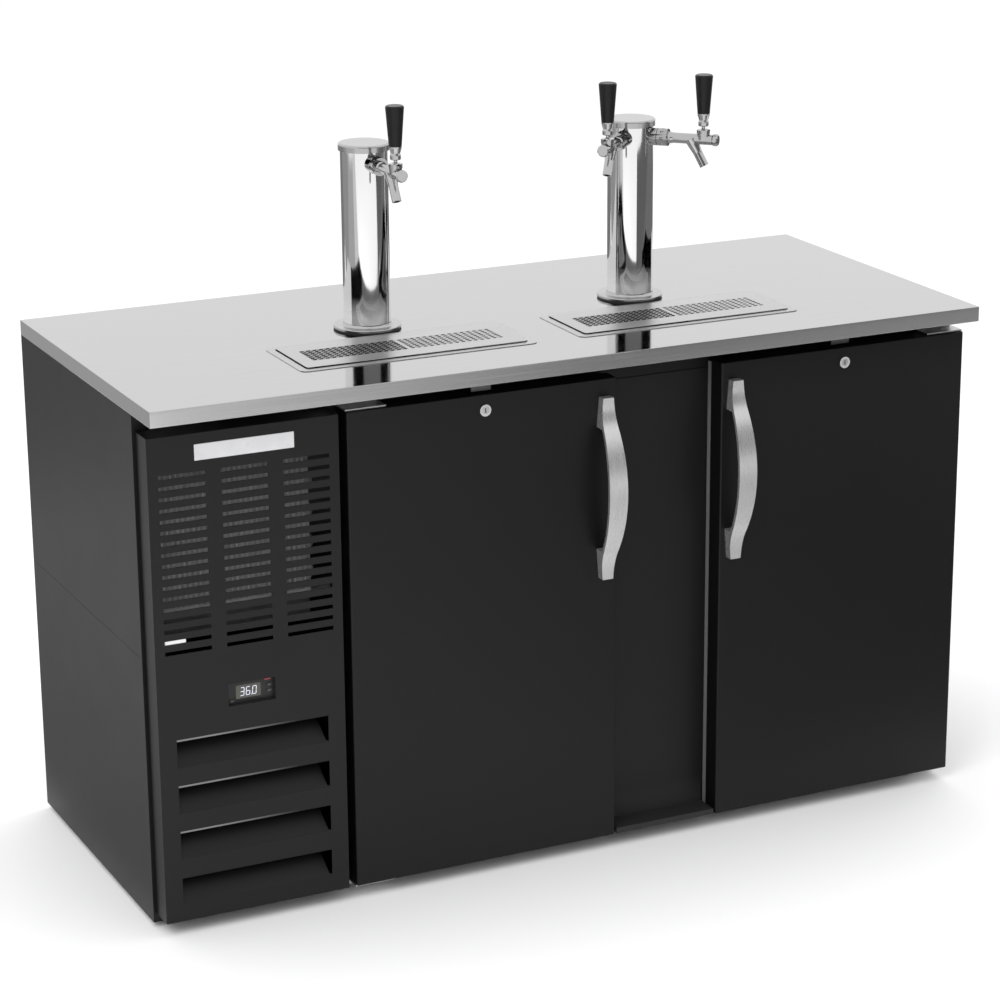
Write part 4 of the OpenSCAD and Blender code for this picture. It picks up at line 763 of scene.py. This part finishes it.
def add_digit(bm, digit, x):
    """Bars of one digit, each a six-cornered strip with pointed ends."""
    half_w = DIGIT_W / 2
    half_h = DIGIT_H / 2
    bars = {
        "a": (0, half_h, True),
        "b": (half_w, half_h / 2, False),
        "c": (half_w, -half_h / 2, False),
        "d": (0, -half_h, True),
        "e": (-half_w, -half_h / 2, False),
        "f": (-half_w, half_h / 2, False),
        "g": (0, 0, True),
    }
    for letter in SEGMENTS[digit]:
        bar_x, bar_z, level = bars[letter]
        tip = (half_w if level else half_h / 2) - BAR_GAP
        shoulder = tip - BAR_T / 2
        outline = [(-tip, 0), (-shoulder, BAR_T / 2), (shoulder, BAR_T / 2)]
        outline += [(-along, -across) for along, across in outline]
        corners = []
        for along, across in outline:
            dx, dz = (along, across) if level else (across, along)
            lean = (bar_z + dz) * DIGIT_LEAN
            corners.append(bm.verts.new((x + bar_x + dx + lean, digit_y, face_z + bar_z + dz)))
        thicken(bm, bm.faces.new(corners), DIGIT_T)


def add_point(bm):
    point = bmesh.ops.create_circle(bm, cap_ends=True, segments=POINT_SIDES, radius=POINT_R)["verts"]
    bmesh.ops.rotate(bm, verts=point, matrix=Matrix.Rotation(math.radians(90), 3, "X"))
    bmesh.ops.translate(bm, verts=point, vec=(window_x + POINT_RIGHT, digit_y, face_z - POINT_DOWN))
    thicken(bm, point[0].link_faces[0], DIGIT_T)


def add_digits():
    bm = bmesh.new()
    for digit, dx in DIGITS:
        add_digit(bm, digit, window_x + dx)
    add_point(bm)
    bmesh.ops.recalc_face_normals(bm, faces=bm.faces)
    add_piece("display_digits", bm, glow_material(), "cabinet")


add_digits()


# Red lamp above the keys
LAMP_SIZE = (0.0110, 0.0034, 0.0006, 0.0012, 0.0002)
LAMP_RIGHT = 0.0300
LAMP_UP = 0.0150
lamp_lens = plastic("lamp_lens", value=0.30, rough=0.25, tint=(1.0, 0.10, 0.12), grain=500.0, strength=0.02)
lamp_place = (face_x + LAMP_RIGHT, face_lo.y, face_z + LAMP_UP)
add_plate("display_lamp", LAMP_SIZE, lamp_place, lamp_lens)


# Arrow marks on the keys, each turned clockwise from pointing up by its angle
ARROW_TIP = 0.0011
ARROW_FOOT = 0.0009
ARROW_HALF_W = 0.0013
ARROW_T = 0.0002
ARROW_TURNS = {"left": -90, "upper": 0, "lower": 180}
key_mark = plastic("key_mark", value=0.12, rough=0.4)


def add_key_mark(key, turn):
    key_lo, key_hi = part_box("controller_key_" + key)
    cosine = math.cos(math.radians(turn))
    sine = math.sin(math.radians(turn))
    bm = bmesh.new()
    corners = []
    for x, z in ((0, ARROW_TIP), (ARROW_HALF_W, -ARROW_FOOT), (-ARROW_HALF_W, -ARROW_FOOT)):
        corners.append(bm.verts.new((x * cosine + z * sine, 0, z * cosine - x * sine)))
    thicken(bm, bm.faces.new(corners), ARROW_T)
    place = ((key_lo.x + key_hi.x) / 2, key_lo.y - ARROW_T, (key_lo.z + key_hi.z) / 2)
    bmesh.ops.translate(bm, verts=bm.verts, vec=place)
    bmesh.ops.recalc_face_normals(bm, faces=bm.faces)
    add_piece("key_mark_" + key, bm, key_mark, "key_" + key)


for key, turn in ARROW_TURNS.items():
    add_key_mark(key, turn)


# Stage: pale floor, white world and two soft lamps

FLOOR_SIZE = 60
FLOOR_TONE_SCALE = 0.6
FLOOR_DARK = 0.95
FLOOR_LIGHT = 0.97
WORLD_STRENGTH = 1.05


def make_floor():
    material = Material("floor")
    material.set(Roughness=0.9, Specular_IOR_Level=0.0)
    tone = material.noise(FLOOR_TONE_SCALE, detail=2)
    material.to("Base Color", material.mix(tone, grey(FLOOR_DARK), grey(FLOOR_LIGHT)))
    bpy.ops.mesh.primitive_plane_add(size=FLOOR_SIZE, location=(0, 0, 0))
    floor = bpy.context.object
    floor.name = "floor"
    floor.data.materials.append(material.data)


def make_world():
    world = bpy.data.worlds.new("world")
    world.use_nodes = True
    background = world.node_tree.nodes["Background"]
    background.inputs["Color"].default_value = grey(1.0)
    background.inputs["Strength"].default_value = WORLD_STRENGTH
    scene.world = world


def soft_lamp(name, place, target, width, depth, power):
    data = bpy.data.lights.new(name, "AREA")
    data.shape = "RECTANGLE"
    data.size = width
    data.size_y = depth
    data.energy = power
    lamp = bpy.data.objects.new(name, data)
    lamp.location = place
    aim = Vector(target) - Vector(place)
    lamp.rotation_euler = aim.to_track_quat("-Z", "Y").to_euler()
    lamp.visible_glossy = False
    scene.collection.objects.link(lamp)


make_floor()
make_world()
soft_lamp("key", place=(-3.2, -2.6, 3.6), target=(0, 0, 0.6), width=2.4, depth=2.4, power=70)
soft_lamp("top", place=(0.4, 0.6, 4.2), target=(0, 0, 0.9), width=3.0, depth=2.0, power=40)


# Grey cards on the floor and round the set, seen only in reflections

# Height of the floor cards
CARD_Z = 0.004
# A deep card shows to rays that have bounced more often than this
DEEP_BOUNCES = 1.5


def show_deep_only(material):
    """Make a material clear until a ray's second bounce."""
    depth = material.node("ShaderNodeLightPath").outputs["Ray Depth"]
    clear = material.node("ShaderNodeBsdfTransparent").outputs[0]
    deep = material.operate("GREATER_THAN", depth, DEEP_BOUNCES)
    mixed = material.node("ShaderNodeMixShader", Fac=deep)
    material.feed(mixed.inputs[1], clear)
    material.feed(mixed.inputs[2], material.shader.outputs[0])
    output = next(node for node in material.tree.nodes if node.type == "OUTPUT_MATERIAL")
    material.feed(output.inputs["Surface"], mixed.outputs[0])


def card(name, corners, glow, end_glow=None, deep=False):
    """Card with one glow, or with a glow that runs to another along x.

    A deep card shows only in a reflection of a reflection.
    """
    material = Material(name)
    material.set(Base_Color=grey(0.0), Roughness=1.0, Specular_IOR_Level=0.0)
    material.set(Emission_Strength=1.0, Emission_Color=grey(glow))
    if end_glow is not None:
        along = [corner[0] for corner in corners]
        glow_along = material.span(material.axis("X"), glow, end_glow, min(along), max(along))
        material.to("Emission Color", glow_along)
    if deep:
        show_deep_only(material)
    mesh = bpy.data.meshes.new(name)
    mesh.from_pydata(corners, [], [(0, 1, 2, 3)])
    mesh.materials.append(material.data)
    sheet = bpy.data.objects.new(name, mesh)
    scene.collection.objects.link(sheet)
    sheet.visible_camera = False
    sheet.visible_diffuse = False
    sheet.visible_shadow = False


def floor_card(name, x, y, glow, end_glow=None):
    corners = [(x[0], y[0], CARD_Z), (x[1], y[0], CARD_Z), (x[1], y[1], CARD_Z), (x[0], y[1], CARD_Z)]
    card(name, corners, glow, end_glow)


def wall_card(name, start, end, z, glow, deep=False):
    card(name, [(*start, z[0]), (*end, z[0]), (*end, z[1]), (*start, z[1])], glow, deep=deep)


# Floor seen in the worktop's edges, the doors and the side
floor_card("card_front_edge", x=(0.25, 1.5), y=(-3.7, -2.95), glow=0.93, end_glow=0.33)
floor_card("card_front_right", x=(1.5, 3.0), y=(-3.7, -2.95), glow=0.31, end_glow=0.40)
floor_card("card_left_edge", x=(-2.6, -1.55), y=(2.0, 4.0), glow=0.49)
floor_card("card_door", x=(0.3, 1.9), y=(-2.6, -0.5), glow=0.72, end_glow=0.02)
floor_card("card_side", x=(-1.7, -0.8), y=(-0.2, 2.0), glow=1.0, end_glow=0.46)
# Surroundings seen in the towers, the faucets and the handles
floor_card("card_left", x=(-6.5, -3.0), y=(-1.0, 1.9), glow=0.40)
floor_card("card_left_front", x=(-6.5, -2.6), y=(-2.4, -1.0), glow=0.64)
floor_card("card_back_left", x=(-1.55, 0.4), y=(2.2, 4.0), glow=0.20)
floor_card("card_back", x=(-3.0, 4.0), y=(4.0, 6.8), glow=0.20)
floor_card("card_left_back", x=(-6.5, -3.0), y=(1.9, 6.8), glow=0.30)
floor_card("card_right", x=(3.05, 7.0), y=(-5.5, 4.0), glow=0.16)
wall_card("card_tower_front", start=(0.33, -0.8), end=(2.6, -0.8), z=(0.768, 1.02), glow=0.12)
wall_card("card_tower_back", start=(0.1, 0.95), end=(3.0, 0.95), z=(0.2, 0.9), glow=0.16)
wall_card("card_horizon", start=(-9.0, -7.5), end=(8.0, -7.5), z=(0.6, 4.0), glow=0.20)
# Dark room round the set
wall_card("card_front_wall", start=(-9.0, -8.0), end=(8.0, -8.0), z=(0.4, 6.0), glow=0.001, deep=True)
wall_card("card_right_wall", start=(6.0, -8.0), end=(6.0, 2.5), z=(0.4, 5.0), glow=0.0, deep=True)
wall_card("card_left_wall", start=(-8.0, -8.0), end=(-8.0, 2.0), z=(0.4, 5.0), glow=0.0, deep=True)
